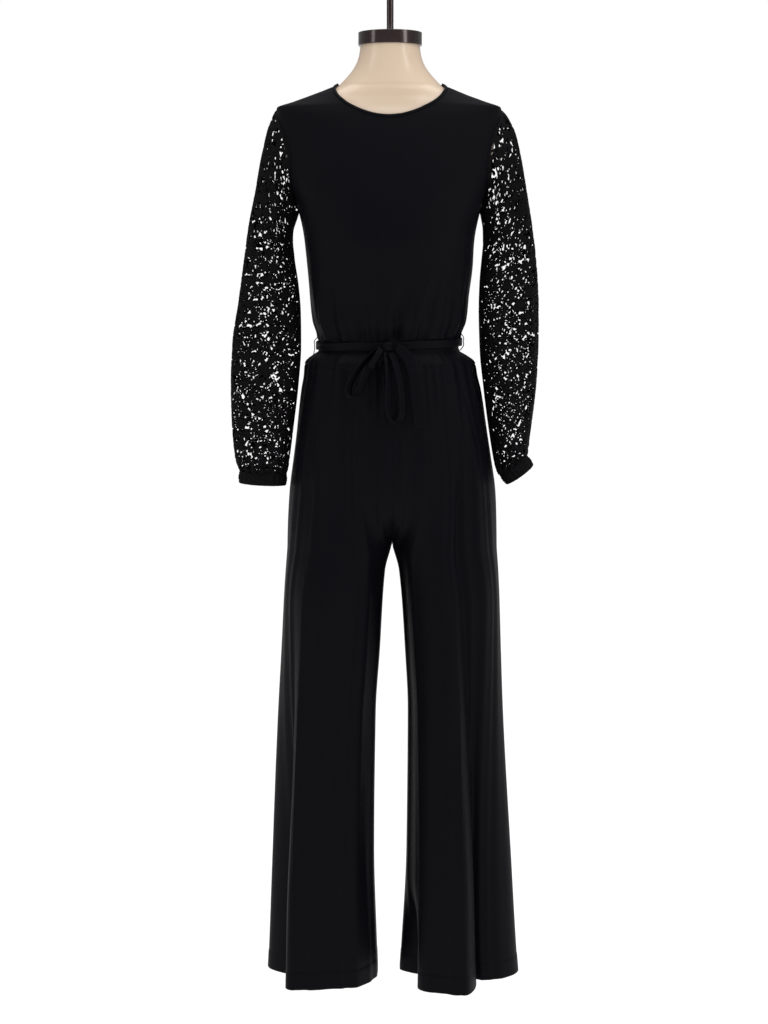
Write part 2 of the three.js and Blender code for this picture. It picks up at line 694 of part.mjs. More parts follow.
// Surface just outside the belt line of the bodice
function beltPoint(turn, v, out) {
  const tilt = BELT_TILT * Math.cos(turn * DEGREE);
  const point = outline(BODY, turn, BELT);
  const flat = new THREE.Vector3(Math.cos(turn * DEGREE), Math.sin(turn * DEGREE), 0);
  point.z = BELT + tilt + v;
  return point.addScaledVector(flat, out);
}

function addBelt() {
  const surface = (turn, v) => beltPoint(turn, v, BELT_OUT);
  const geometry = wall(surface, even(36, 0, 360), [-BELT_WIDTH / 2, BELT_WIDTH / 2], BELT_WALL,
    { round: true });
  piece('belt_band', geometry, COLOURS.jersey);
  const knot = new THREE.SphereGeometry(0.5, 12, 8);
  knot.scale(KNOT.width, KNOT.depth, KNOT.height);
  knot.translate(KNOT.x, KNOT.y, KNOT.z);
  piece('belt_knot', knot, COLOURS.jersey);
  for (const [name, shape] of Object.entries(STRAPS)) {
    piece(name, strap(shape.path, shape.width, STRAP_WALL, shape.across, 18), COLOURS.jersey);
  }
}

// Belt loop at a side seam: a narrow strip that stands off the belt and turns in at both ends
function beltLoop(name, side) {
  const turn = side > 0 ? 0 : 180;
  const half = LOOP_TALL / 2;
  const far = side * (BELT_OUT + LOOP_OUT);
  const middle = beltPoint(turn, 0, 0);
  const away = v => [middle.x + far, middle.y, middle.z + v];
  const seat = v => {
    const point = bodicePoint(turn, middle.z + v);
    return [point.x + side * (LOOP_WALL / 2 + 2 * SEAM_GAP), point.y, point.z];
  };
  const path = [seat(half + 5), away(half - 3), away(0), away(3 - half), seat(-half - 5)];
  piece(name, strap(path, LOOP_WIDTH, LOOP_WALL, [0, 1, 0], 12), COLOURS.jersey);
}

function addForm() {
  const formPoint = (turn, z) => {
    if (z >= FORM_NECK[FORM_NECK.length - 1].z) return outline(FORM_NECK, turn, z);
    const drop = FORM_DROP * smooth(-270, -200, z);
    return outline(BODY, turn, z + drop, at(FORM_EASE, 'ease', z)).setZ(z);
  };
  const rings = FORM_ROWS.map(z => even(24, 0, 360).slice(0, 24).map(turn => formPoint(turn, z)));
  piece('dress_form', loft(rings.reverse()), COLOURS.form, 0.35);
}

function addCapAndRod() {
  const base = NECK_TOP + SEAM_GAP;
  const top = base + CAP_HEIGHT;
  const profile = [[0, base], [CAP_RADIUS, base], [CAP_RADIUS + 1, base + 2], [CAP_RADIUS, top - 3],
    [CAP_RADIUS - 3, top - 0.5], [ROD_RADIUS + 8, top + 0.8], [0, top + 1]];
  const cap = new THREE.LatheGeometry(profile.map(point => new THREE.Vector2(...point)), 32);
  cap.rotateX(Math.PI / 2);
  piece('neck_cap', cap, COLOURS.metal, 0.3, 0.8);
  const foot = top + 1 + SEAM_GAP;
  const rod = new THREE.CylinderGeometry(ROD_RADIUS, ROD_RADIUS, -foot, 16);
  rod.rotateX(Math.PI / 2);
  rod.translate(0, 0, foot / 2);
  piece('hanging_rod', rod, COLOURS.metal, 0.3, 0.8);
}

addBodice();
addNeckBinding();
addNeckButton();
addTrousers();
addSleeves();
cuff('cuff_right', -1);
cuff('cuff_left', 1);
addBelt();
beltLoop('belt_loop_right', -1);
beltLoop('belt_loop_left', 1);
addForm();
addCapAndRod();

export default group;
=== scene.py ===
import math

import bmesh
import bpy
import mathutils
import numpy as np
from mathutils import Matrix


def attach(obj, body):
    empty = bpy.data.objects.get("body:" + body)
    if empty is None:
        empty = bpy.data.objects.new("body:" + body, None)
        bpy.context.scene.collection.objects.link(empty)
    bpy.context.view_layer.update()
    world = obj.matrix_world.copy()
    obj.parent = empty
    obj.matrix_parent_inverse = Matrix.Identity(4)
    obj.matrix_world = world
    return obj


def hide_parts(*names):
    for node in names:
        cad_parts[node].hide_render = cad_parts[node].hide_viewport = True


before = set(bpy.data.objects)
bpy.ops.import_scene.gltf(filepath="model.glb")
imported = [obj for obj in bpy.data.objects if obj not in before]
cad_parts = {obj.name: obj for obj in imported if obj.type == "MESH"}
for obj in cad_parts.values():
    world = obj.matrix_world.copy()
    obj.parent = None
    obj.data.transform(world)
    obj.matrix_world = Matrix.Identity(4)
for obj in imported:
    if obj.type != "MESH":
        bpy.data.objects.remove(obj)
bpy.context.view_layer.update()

# Camera: it stands 3 m in front of the waist, a little above it, and looks slightly down, so that
# the neck's rim is seen from above and the hem from far above.
CAMERA_PLACE = (-0.010, -3.000, -0.425)
CAMERA_PITCH = math.radians(8.2)
CAMERA_LENS = 62.8

bpy.ops.object.camera_add(location=CAMERA_PLACE, rotation=(math.pi / 2 - CAMERA_PITCH, 0, 0))
camera = bpy.context.object
camera.name = "camera"
camera.data.lens = CAMERA_LENS
camera.data.sensor_width = 36
camera.data.clip_end = 60
bpy.context.scene.camera = camera

# Dress form: a limbless moulded shell with a smooth cream skin, widest at the shoulders and closed
# under the hips. It is drawn in by the same cross-sections as the clothes, a little smaller.


def table(names, rows):
    """Columns of a table by name. Lengths are in millimetres and turns in degrees."""
    return dict(zip(names.split(), np.array(rows, dtype=float).T))


# Cross-sections of the dressed body: half width, middle, reach to the front and to the back, and
# squareness, where 2 is an ellipse
BODY = table("z half middle front back square", [
    (-140, 80, 0, 61, 58, 2.1),
    (-150, 88, 0, 62, 60, 2.2),
    (-158, 106, 0, 64, 63, 2.2),
    (-168, 132, -1, 66, 68, 2.2),
    (-178, 160, -1, 69, 71, 2.3),
    (-187, 184, -2, 72, 74, 2.4),
    (-200, 185.5, -2, 77, 80, 2.5),
    (-230, 183, -2, 86, 90, 2.5),
    (-290, 172, -2, 101, 98, 2.5),
    (-355, 150, -1, 114, 98, 2.4),
    (-400, 141, -1, 119, 93, 2.3),
    (-450, 137, 0, 112, 86, 2.2),
    (-500, 131, -1, 104, 82, 2.2),
    (-535, 125, -1, 99, 80, 2.2),
    (-558, 117, -1.6, 90, 75, 2.2),
    (-572, 116, -1.6, 89, 74, 2.2),
    (-583, 117, -1.6, 89.5, 75, 2.2),
    (-592, 128, -1, 94, 82, 2.2),
    (-604, 139, 0, 99, 90, 2.2),
    (-625, 142, 1, 101, 97, 2.2),
    (-650, 148, 2, 103, 103, 2.2),
    (-700, 157, 3, 106, 113, 2.2),
    (-760, 166, 4, 107, 120, 2.3),
    (-820, 174, 4.4, 106, 122, 2.3),
    (-880, 177, 4, 106, 120, 2.3),
    (-1010, 182, 3.5, 104, 110, 2.3),
])
FORM_NECK = table("z half middle front back square", [
    (-86, 48.5, 0, 50, 48, 2),
    (-104, 50, 0, 51, 49, 2),
    (-122, 57, 0, 53, 51, 2),
    (-136, 68, 0, 56, 54, 2),
    (-144, 78, 0, 58, 56, 2.1),
])
FORM_EASE = table("z ease", [
    (-150, 3.2), (-165, 4), (-187, 5.8), (-235, 7), (-355, 10), (-450, 12), (-540, 11.5),
    (-560, 9.8), (-566, 7.5), (-572, 5.5), (-583, 6), (-604, 24), (-650, 20), (-720, 11), (-815, 9),
    (-828, 16), (-838, 36),
])
FORM_DROP = 2
FORM_HEIGHTS = (-86, -838)
FORM_COLUMNS = 96
FORM_LOW_ROWS = 80
FORM_HIGH_ROWS = 70      # above the shoulders' slope, where the rows stand closer
FORM_SPLIT = (-230, -229)
EVENED = (-150, -90)    # heights between which the neck is smoothed, row by row
EVENING_PASSES = 60
MM = 0.001


def smooth(start, end, value):
    t = np.clip((np.asarray(value, dtype=float) - start) / (end - start), 0, 1)
    return t * t * (3 - 2 * t)


def mix(a, b, share):
    return a + (b - a) * share


def at(rows, name, value, key="z"):
    """Value of one column by a smooth curve that never overshoots its rows."""
    value = np.asarray(value, dtype=float)
    knots = rows[key]
    heights = rows[name]
    if knots[-1] < knots[0]:
        knots, value = -knots, -value
    value = np.clip(value, knots[0], knots[-1])
    slopes = np.diff(heights) / np.diff(knots)
    before, after = slopes[:-1], slopes[1:]
    total = np.where(before + after == 0, 1, before + after)
    middle = np.where(before * after <= 0, 0, 2 * before * after / total)
    tangents = np.concatenate([slopes[:1], middle, slopes[-1:]])
    i = np.clip(np.searchsorted(knots, value, side="right") - 1, 0, len(knots) - 2)
    step = knots[i + 1] - knots[i]
    t = (value - knots[i]) / step
    start = (2 * t ** 3 - 3 * t ** 2 + 1) * heights[i] + (t ** 3 - 2 * t ** 2 + t) * step * tangents[i]
    end = (3 * t ** 2 - 2 * t ** 3) * heights[i + 1] + (t ** 3 - t ** 2) * step * tangents[i + 1]
    return start + end


def reach(cosine, sine, half, deep, square):
    """Distance from the middle to a rounded outline in one direction."""
    total = (np.abs(cosine) / half) ** square + (np.abs(sine) / deep) ** square
    return total ** (-1 / square)


def outline(rows, turn, z, ease=0):
    """Points of a body outline, turn degrees round from the garment's left side."""
    cosine, sine = np.cos(np.radians(turn)), np.sin(np.radians(turn))
    deep = np.where(sine < 0, at(rows, "front", z), at(rows, "back", z)) - ease
    far = reach(cosine, sine, at(rows, "half", z) - ease, deep, at(rows, "square", z))
    return np.stack([at(rows, "middle", z) + far * cosine, far * sine, z + 0 * far], axis=-1)


def unit(vectors):
    return vectors / np.maximum(np.linalg.norm(vectors, axis=-1, keepdims=True), 1e-9)


def slopes_of(points, closed):
    """How a grid of points runs along its rows and up its columns."""
    if closed:
        along = np.roll(points, -1, axis=1) - np.roll(points, 1, axis=1)
    else:
        along = np.gradient(points, axis=1)
    return along, np.gradient(points, axis=0)


def normals_of(points, closed=False):
    """Outward side of a grid whose rows run to a viewer's right and upwards."""
    along, up = slopes_of(points, closed)
    return unit(np.cross(along, up))


def deselect_all():
    bpy.ops.object.select_all(action="DESELECT")


def activate(obj):
    """Leaves one piece selected, for the tools that follow."""
    deselect_all()
    bpy.context.view_layer.objects.active = obj
    obj.select_set(True)


def mesh_piece(name, points, faces, corners=None, angle=40):
    """New object from points in millimetres, quads, and each quad's four places on the cloth."""
    used, faces = np.unique(faces, return_inverse=True)
    faces = faces.reshape(-1, 4)
    mesh = bpy.data.meshes.new(name)
    mesh.from_pydata((points[used] * MM).tolist(), [], faces.tolist())
    if corners is not None:
        layer = mesh.uv_layers.new(name="cloth")
        layer.data.foreach_set("uv", (corners * MM).astype(np.float32).ravel())
    obj = bpy.data.objects.new(name, mesh)
    bpy.context.collection.objects.link(obj)
    activate(obj)
    bpy.ops.object.shade_smooth_by_angle(angle=math.radians(angle))
    return obj


def solid_of_rings(name, rings):
    """Closed smooth solid through rings of points that run from low to high."""
    rows, count = rings.shape[:2]
    points = rings.reshape(-1, 3)
    index = np.arange(rows * count).reshape(rows, count)
    a, b = index[:-1], np.roll(index, -1, axis=1)[:-1]
    c, d = np.roll(index, -1, axis=1)[1:], index[1:]
    obj = mesh_piece(name, points, np.stack([a, b, c, d], axis=-1).reshape(-1, 4))
    shape = bmesh.new()
    shape.from_mesh(obj.data)
    bmesh.ops.holes_fill(shape, edges=[edge for edge in shape.edges if edge.is_boundary])
    bmesh.ops.triangulate(shape, faces=[face for face in shape.faces if len(face.verts) > 4])
    shape.to_mesh(obj.data)
    shape.free()
    return obj


class Wire:
    """A socket in a material's nodes, so that sums on it read as plain sums."""

    def __init__(self, tree, socket=None):
        self.tree = tree
        self.socket = socket

    def node(self, kind, settings=None, inputs=None, output=0):
        made = self.tree.nodes.new("ShaderNode" + kind)
        for name, value in (settings or {}).items():
            setattr(made, name, value)
        for name, value in (inputs or {}).items():
            if isinstance(value, Wire):
                self.tree.links.new(value.socket, made.inputs[name])
            else:
                made.inputs[name].default_value = value
        return Wire(self.tree, made.outputs[output] if made.outputs else None)

    def maths(self, operation, a, b=0.0):
        return self.node("Math", {"operation": operation}, {0: a, 1: b})

    def __add__(self, other):
        return self.maths("ADD", self, other)

    def __radd__(self, other):
        return self.maths("ADD", other, self)

    def __mul__(self, other):
        return self.maths("MULTIPLY", self, other)

    def __rmul__(self, other):
        return self.maths("MULTIPLY", other, self)

    def noise(self, place, scale, detail=3.0, rough=0.55):
        """Even cloudiness from 0 to 1 at a number of lumps to the metre."""
        settings = {"noise_dimensions": "3D"}
        values = {"Vector": place, "Scale": scale, "Detail": detail, "Roughness": rough}
        return self.node("TexNoise", settings, values)

    def blend(self, share, first, second):
        """Colour between two, by a share from 0 to 1."""
        settings = {"data_type": "RGBA", "blend_type": "MIX"}
        return self.node("Mix", settings, {"Factor": share, "A": first, "B": second}, "Result")


def new_material(name):
    material = bpy.data.materials.new(name)
    material.use_nodes = True
    material.node_tree.nodes.clear()
    return material, Wire(material.node_tree)


def finish_surface(start, fixed, height=None, depth=0.001, **varying):
    """Ends a material in one surface shader. Fixed values and varying ones go by socket name."""
    values = dict(fixed)
    values.update({name.replace("_", " "): value for name, value in varying.items()})
    if height is not None:
        values["Normal"] = start.node("Bump", {}, {"Height": height, "Distance": depth, "Strength": 1.0})
    shader = start.node("BsdfPrincipled", {}, values)
    start.node("OutputMaterial", {}, {"Surface": shader})


def rgb(red, green, blue):
    """Colour for a socket, from the 0 to 255 of a screen."""
    def level(value):
        value = value / 255
        return value / 12.92 if value <= 0.04045 else ((value + 0.055) / 1.055) ** 2.4
    return (level(red), level(green), level(blue), 1.0)


def set_material(obj, material):
    obj.data.materials.clear()
    obj.data.materials.append(material)


def finish_piece(obj, node, material):
    """The finish of a piece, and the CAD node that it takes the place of."""
    set_material(obj, material)
    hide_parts(node)
    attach(obj, "root")


def shell_material():
    material, start = new_material("cream_shell")
    place = start.node("TexCoord", output="Object")
    cloud = start.noise(place, 9.0, 4.0)
    speck = start.noise(place, 900.0, 2.0)
    colour = start.blend(cloud, rgb(214, 192, 168), rgb(200, 178, 154))
    rough = 0.26 + 0.12 * start.noise(place, 40.0)
    fixed = {"IOR": 1.48, "Coat Roughness": 0.12, "Coat Weight": 0.25}
    finish_surface(start, fixed, speck + 0.6 * cloud, 0.00012, Base_Color=colour, Roughness=rough)
    return material


def form_ring(z):
    turn = np.linspace(0, 360, FORM_COLUMNS, endpoint=False)
    if z >= FORM_NECK["z"][-1]:
        return outline(FORM_NECK, turn, np.full(FORM_COLUMNS, z))
    drop = FORM_DROP * smooth(-270, -200, z)
    ring = outline(BODY, turn, np.full(FORM_COLUMNS, z + drop), at(FORM_EASE, "ease", z))
    ring[:, 2] = z
    return ring


heights = np.concatenate([
    np.linspace(FORM_HEIGHTS[1], FORM_SPLIT[0], FORM_LOW_ROWS),
    np.linspace(FORM_SPLIT[1], FORM_HEIGHTS[0], FORM_HIGH_ROWS),
])
rings = np.stack([form_ring(z) for z in heights])
neck_rows = (heights > EVENED[0]) & (heights < EVENED[1])
for _ in range(EVENING_PASSES):
    evened = rings.copy()
    evened[1:-1] = (rings[:-2] + 2 * rings[1:-1] + rings[2:]) / 4
    rings[neck_rows] = evened[neck_rows]
dress_form = solid_of_rings("dress_form_skin", rings)
finish_piece(dress_form, "dress_form", shell_material())

# Neck cap and rod: a dark lacquered metal lid pressed over the neck's rim, and the rod that comes
# out of its middle and holds everything up. Both are turned on a lathe.
CAP_BASE = -87.4
CAP_HEIGHT = 21
CAP_RADIUS = 52
CAP_CROWN = 1.0
CAP_EDGE = 3.2
ROD_RADIUS = 5.6
ROD_FOOT = -65.2


def lacquer_material():
    material, start = new_material("dark_lacquered_metal")
    place = start.node("TexCoord", output="Object")
    wide = start.noise(place, 14.0)
    fine = start.noise(place, 260.0, 2.0)
    colour = start.blend(wide, rgb(62, 45, 44), rgb(40, 31, 32))
    rough = 0.16 + 0.14 * fine
    fixed = {"Coat Roughness": 0.08, "Coat Weight": 0.6, "IOR": 1.5}
    metal = 0.55 + 0.25 * wide
    finish_surface(start, fixed, fine, 0.00004, Base_Color=colour, Roughness=rough, Metallic=metal)
    return material


def pick_faces(obj, wanted):
    """Selects in edit mode the faces whose centre and normal are wanted."""
    shape = bmesh.from_edit_mesh(obj.data)
    for face in shape.faces:
        face.select_set(bool(wanted(face.calc_center_median(), face.normal)))
    shape.select_flush_mode()
    bmesh.update_edit_mesh(obj.data)


def settle(obj, name):
    """Puts a modelled piece's place into its mesh."""
    obj.name = name
    activate(obj)
    bpy.ops.object.transform_apply(location=True, rotation=True, scale=True)
    bpy.ops.object.shade_smooth_by_angle(angle=math.radians(35))
    return obj


def bevel_edges(obj, width, segments, angle=50):
    bevel = obj.modifiers.new("edge", "BEVEL")
    bevel.width = width * MM
    bevel.segments = segments
    bevel.limit_method = "ANGLE"
    bevel.angle_limit = math.radians(angle)
    bpy.ops.object.modifier_apply(modifier=bevel.name)


deselect_all()
bpy.ops.mesh.primitive_cylinder_add(vertices=128, radius=CAP_RADIUS * MM, depth=CAP_HEIGHT * MM,
                                    location=(0, 0, (CAP_BASE + CAP_HEIGHT / 2) * MM))
cap = bpy.context.object
bpy.ops.object.mode_set(mode="EDIT")
pick_faces(cap, lambda centre, normal: normal.z > 0.9)
bpy.ops.mesh.inset(thickness=(CAP_EDGE + 1) * MM)
bpy.ops.mesh.inset(thickness=18 * MM)
bpy.ops.transform.translate(value=(0, 0, 0.5 * MM))
bpy.ops.mesh.inset(thickness=16 * MM)
bpy.ops.transform.translate(value=(0, 0, (CAP_CROWN - 0.5) * MM))
pick_faces(cap, lambda centre, normal: normal.z < -0.9)
bpy.ops.mesh.inset(thickness=1.6 * MM)
bpy.ops.mesh.extrude_region_move(TRANSFORM_OT_translate={"value": (0, 0, 1.2 * MM)})
bpy.ops.object.mode_set(mode="OBJECT")
bevel_edges(cap, CAP_EDGE, 5)
settle(cap, "neck_cap_lid")

deselect_all()
bpy.ops.mesh.primitive_cylinder_add(vertices=48, radius=ROD_RADIUS * MM, depth=-ROD_FOOT * MM,
                                    location=(0, 0, ROD_FOOT / 2 * MM))
rod = bpy.context.object
bpy.ops.object.mode_set(mode="EDIT")
pick_faces(rod, lambda centre, normal: normal.z > 0.9)
bpy.ops.mesh.inset(thickness=1.2 * MM)
bpy.ops.mesh.inset(thickness=0.4 * MM)
bpy.ops.transform.translate(value=(0, 0, -0.8 * MM))
bpy.ops.object.mode_set(mode="OBJECT")
bevel_edges(rod, 0.6, 3)
settle(rod, "hanging_rod_tube")

lacquer = lacquer_material()
finish_piece(cap, "neck_cap", lacquer)
finish_piece(rod, "hanging_rod", lacquer)

# Bodice: a front cut in one and two back halves, of black viscose jersey. They are sewn at the
# shoulders, the sides and the middle of the back, and gathered softly towards the waist.
JERSEY = 1.3
SIDE_NECK = -150
SHOULDER_TIP = -188.5
UNDERARM = -352
BELT = -572
WAIST_SEAM = -606
GATHERS = 16
GATHER_HEIGHT = 2.0
FINE_GATHERS = 41
FINE_GATHER_HEIGHT = 2.0
ARMHOLE_INSET = 17
SLIT_LENGTH = 110
SLIT_WIDTH = 4
SEAM_WIDTH = 2.4        # how far from a seam the cloth starts to roll inwards
SEAM_DEPTH = 1.1
WAIST_TUCK = 1.9        # how far the bodice's lower edge lies inside the trousers
WAIST_LAP = 2.5         # and how far it goes down behind them
NECK_FRONT = table("turn z", [
    (0, -150), (16, -155), (27, -163.5), (35.5, -174), (48, -188), (62.5, -198.5), (77, -204),
    (90, -205.5), (103, -204),
])
NECK_BACK = table("turn z", [(0, -150), (20, -152), (45, -157), (90, -163)])
# Folds. turn runs round the body: 0 at the left side, 90 behind, 180 at the right side and 270 in
# front. Each grows from nothing at start to its full height at end.
BODICE_FOLDS = [dict(zip(("turn", "turn_low", "spread", "start", "end", "height"), row)) for row in [
    (200, 200, 9, -380, -540, 3), (212, 208, 7, -390, -540, 4), (245, 245, 11, -420, -540, -4),
    (290, 277, 11, -420, -540, -4), (323, 311, 7, -380, -540, 4), (333, 335, 8, -390, -540, 4),
    (30, 28, 10, -400, -540, 3), (66, 70, 12, -420, -540, -3), (116, 110, 12, -420, -540, -3),
    (150, 152, 10, -400, -540, 3),
    (224, 226, 5, -400, -552, 2.4), (233, 236, 4, -470, -552, 1.6), (257, 259, 5, -440, -552, 2.0),
    (270, 268, 4, -480, -552, 1.6), (307, 296, 5, -400, -552, 2.6), (344, 342, 5, -410, -552, 2.2),
    (12, 14, 6, -450, -552, 1.2), (48, 47, 5, -460, -552, 1.1), (84, 83, 5, -440, -552, 0.9),
    (99, 97, 5, -450, -552, 1.0), (134, 136, 6, -440, -552, 1.2), (168, 166, 5, -450, -552, 1.0),
]]
# Drag lines that run from the armholes down over the chest and the back
DRAGS = [dict(zip(("turn", "z", "turn_low", "z_low", "spread", "height"), row)) for row in [
    (199, -255, 212, -330, 2.6, 1.0), (204, -318, 222, -392, 3.0, 1.0), (341, -262, 328, -338, 2.8, 0.9),
    (336, -322, 318, -398, 3.0, 0.9), (21, -262, 34, -338, 2.8, 0.9), (159, -262, 146, -338, 2.8, 0.9),
]]
BODICE_COLUMNS = 64     # across one half of the front
FINE = 0.05


def lump(distance, spread):
    """Soft ridge, 1 on its line and 0 from spread outwards."""
    inside = np.clip(np.abs(distance) / spread, 0, 1)
    return 0.5 + 0.5 * np.cos(np.pi * inside)


def turn_apart(turn, line):
    """Signed degrees from one turn to another, the short way round."""
    return (turn - line + 180) % 360 - 180


def gather(turn, z):
    """Gathers at the waist: broad waves with finer ones between them, unevenly spaced."""
    around = np.radians(turn)
    drift = 1.1 * np.sin(3 * around) + 0.6 * np.sin(5 * around + 1)
    broad = GATHER_HEIGHT * np.cos(GATHERS * around + drift)
    slip = 2.3 * np.sin(2 * around + 0.7) + 1.7 * np.sin(7 * around)
    size = 0.65 + 0.35 * np.sin(4 * around + 2.1)
    fine = FINE_GATHER_HEIGHT * size * np.cos(FINE_GATHERS * around + slip)
    above = smooth(-470, -555, z) * (1 - smooth(-560, -574, z))
    below = smooth(-580, -600, z) * (1 - smooth(-620, -740, z))
    fine_above = smooth(-470, -558, z) * (1 - smooth(-562, -574, z))
    fine_below = smooth(-582, -600, z) * (1 - smooth(-606, -735, z))
    return broad * (above + below) + fine * (fine_above + fine_below)


def bodice_point(turn, z):
    out = gather(turn, z)
    for fold in BODICE_FOLDS:
        share = smooth(fold["start"], fold["end"], z)
        line = mix(fold["turn"], fold["turn_low"], share)
        grown = share * (1 - smooth(-556, -572, z))
        out = out + fold["height"] * grown * lump(turn_apart(turn, line), fold["spread"])
    for drag in DRAGS:
        along = (z - drag["z"]) / (drag["z_low"] - drag["z"])
        line = mix(drag["turn"], drag["turn_low"], along)
        grown = smooth(0, 0.35, along) * (1 - smooth(0.55, 1.1, along))
        out = out + drag["height"] * grown * lump(turn_apart(turn, line), drag["spread"])
    point = outline(BODY, turn, z)
    around = np.radians(turn)
    point[..., 0] += out * np.cos(around)
    point[..., 1] += out * np.sin(around)
    return point


def armhole_inset(z):
    """Degrees that the armhole takes off each side of the front and of the back."""
    t = np.clip((z - UNDERARM) / (SHOULDER_TIP - UNDERARM), 0, 1)
    return ARMHOLE_INSET * np.sin(np.pi * t) ** 0.75


def slit_inset(z):
    """Degrees that the slit takes off each side of the middle of the back."""
    low = NECK_BACK["z"][-1] - SLIT_LENGTH
    open_by = smooth(low, low + SLIT_LENGTH / 3, z)
    return np.degrees(SLIT_WIDTH / 2 / at(BODY, "back", z)) * open_by


def neckline_height(turn):
    whole = np.asarray(turn, dtype=float) % 360
    half = whole % 180
    from_seam = np.where(half > 90, 180 - half, half)
    front = at(NECK_FRONT, "z", from_seam, "turn")
    return np.where(whole > 180, front, at(NECK_BACK, "z", from_seam, "turn"))


def lengths(points, axis):
    """Distance run along each row or column of a grid, from 0."""
    steps = np.linalg.norm(np.diff(points, axis=axis), axis=-1)
    start = np.zeros_like(np.take(steps, [0], axis=axis))
    return np.concatenate([start, np.cumsum(steps, axis=axis)], axis=axis)


def sewn_edges(points, sides):
    """Depth of the roll at the sewn edges of a grid: left, right and high."""
    across, up = lengths(points, 1), lengths(points, 0)
    gaps = {"left": across, "right": across[:, -1:] - across, "high": up[-1:] - up}
    depth = np.zeros(points.shape[:2])
    for side in sides:
        depth = np.maximum(depth, np.exp(-(gaps[side] / SEAM_WIDTH) ** 2))
    return SEAM_DEPTH * depth


def cloth_shell(name, points, thick, closed=False, kept=None, raised=0, angle=40):
    """Cloth of even thickness on a grid of points, with a rim at every edge. kept says which
    cells have cloth; raised lifts the outer face only."""
    normals = normals_of(points, closed)
    outer = points + normals * np.asarray(raised)[..., None]
    inner = points - normals * thick
    rows, count = points.shape[:2]
    index = np.arange(rows * count).reshape(rows, count)
    wide = np.concatenate([index, index[:, :1]], axis=1) if closed else index
    full = np.concatenate([points, points[:, :1]], axis=1) if closed else points
    across = lengths(full, 1)
    across = across - across[:, -1:] / 2
    place = np.stack([across, lengths(full, 0)], axis=-1)
    a, b, c, d = wide[:-1, :-1], wide[:-1, 1:], wide[1:, 1:], wide[1:, :-1]
    pa, pb, pc, pd = place[:-1, :-1], place[:-1, 1:], place[1:, 1:], place[1:, :-1]
    if kept is None:
        kept = np.ones(a.shape, dtype=bool)
    under = rows * count
    framed = np.pad(kept, 1)
    if closed:
        framed[1:-1, 0] = kept[:, -1]
        framed[1:-1, -1] = kept[:, 0]
    quads = [
        (kept, (a, b, c, d), (pa, pb, pc, pd)),
        (kept, (a + under, d + under, c + under, b + under), (pa, pd, pc, pb)),
        (kept & ~framed[:-2, 1:-1], (a + under, b + under, b, a), (pa, pb, pb, pa)),
        (kept & ~framed[1:-1, 2:], (b + under, c + under, c, b), (pb, pc, pc, pb)),
        (kept & ~framed[2:, 1:-1], (c + under, d + under, d, c), (pc, pd, pd, pc)),
        (kept & ~framed[1:-1, :-2], (d + under, a + under, a, d), (pd, pa, pa, pd)),
    ]
    faces = np.concatenate([np.stack(four, axis=-1)[where] for where, four, _ in quads])
    corners = np.concatenate([np.stack(four, axis=-2)[where] for where, _, four in quads])
    both = np.concatenate([outer.reshape(-1, 3), inner.reshape(-1, 3)])
    return mesh_piece(name, both, faces, corners, angle)


def jersey_material():
    """Black knit: fine upright ribs, a faint bloom on the folds and a little dust."""
    material, start = new_material("black_jersey")
    cloth = start.node("UVMap", {"uv_map": "cloth"})
    parts = start.node("SeparateXYZ", {}, {"Vector": cloth})
    ribs = start.maths("SINE", parts * 7400.0)
    up = Wire(parts.tree, parts.socket.node.outputs["Y"])
    loops = start.maths("SINE", up * 5200.0)
    place = start.node("TexCoord", output="Object")
    wide = start.noise(place, 7.0, 3.0)
    fuzz = start.noise(place, 1500.0, 2.0)
    share = 0.65 * wide + 0.35 * fuzz
    colour = start.blend(share, rgb(6, 6, 10), rgb(10, 10, 15))
    rough = 0.44 + 0.14 * fuzz
    height = 0.35 * ribs + 0.15 * loops + 0.7 * fuzz
    fixed = {
        "Specular IOR Level": 0.05,
        "Sheen Weight": 0.003,
        "Sheen Roughness": 0.35,
        "Sheen Tint": rgb(225, 215, 235),
    }
    finish_surface(start, fixed, height, 0.00009, Base_Color=colour, Roughness=rough)
    return material


jersey = jersey_material()


def sewn_piece(obj, node, material):
    """What every piece of cloth gets: its finish, and the CAD node that it takes the place of."""
    finish_piece(obj, node, material)


def bodice_panel(name, start, end, sides, columns):
    """Panel between two turns. sides says which edges follow an armhole and which the slit."""
    low = WAIST_SEAM - WAIST_LAP
    steps = np.concatenate([np.linspace(low, -205, 88), np.linspace(-202, SIDE_NECK, 34)])
    u, v = np.meshgrid(np.linspace(0, 1, columns + 1), steps)
    top = neckline_height(mix(start, end, u))
    z = mix(low, top, (v - low) / (SIDE_NECK - low))
    cut = {"armhole": armhole_inset, "slit": slit_inset}
    gap = np.degrees(FINE / at(BODY, "half", z))
    first = start + cut[sides[0]](z) + gap
    last = end - cut[sides[1]](z) - gap
    points = bodice_point(mix(first, last, u), z)
    roll = sewn_edges(points, ("left", "right"))
    tucked = WAIST_TUCK * smooth(WAIST_SEAM + 2, WAIST_SEAM - 0.8, points[..., 2])
    points = points - normals_of(points) * np.maximum(roll, tucked)[..., None]
    obj = cloth_shell(name + "_cloth", points, JERSEY)
    sewn_piece(obj, name, jersey)


bodice_panel("bodice_front", 180, 360, ("armhole", "armhole"), 2 * BODICE_COLUMNS)
bodice_panel("bodice_back_left", 0, 90, ("armhole", "slit"), BODICE_COLUMNS)
bodice_panel("bodice_back_right", 90, 180, ("slit", "armhole"), BODICE_COLUMNS)

# Neck binding: a narrow strip of the same jersey, folded over the raw neckline and stitched down. It
# is drawn a little tight, so it stands as a small round roll all the way round.
BINDING_HEIGHT = 5.4
BINDING_LIFT = -1.9
BINDING_ROUND = 2.9
BINDING_COLUMNS = 300
BINDING_AROUND = 12


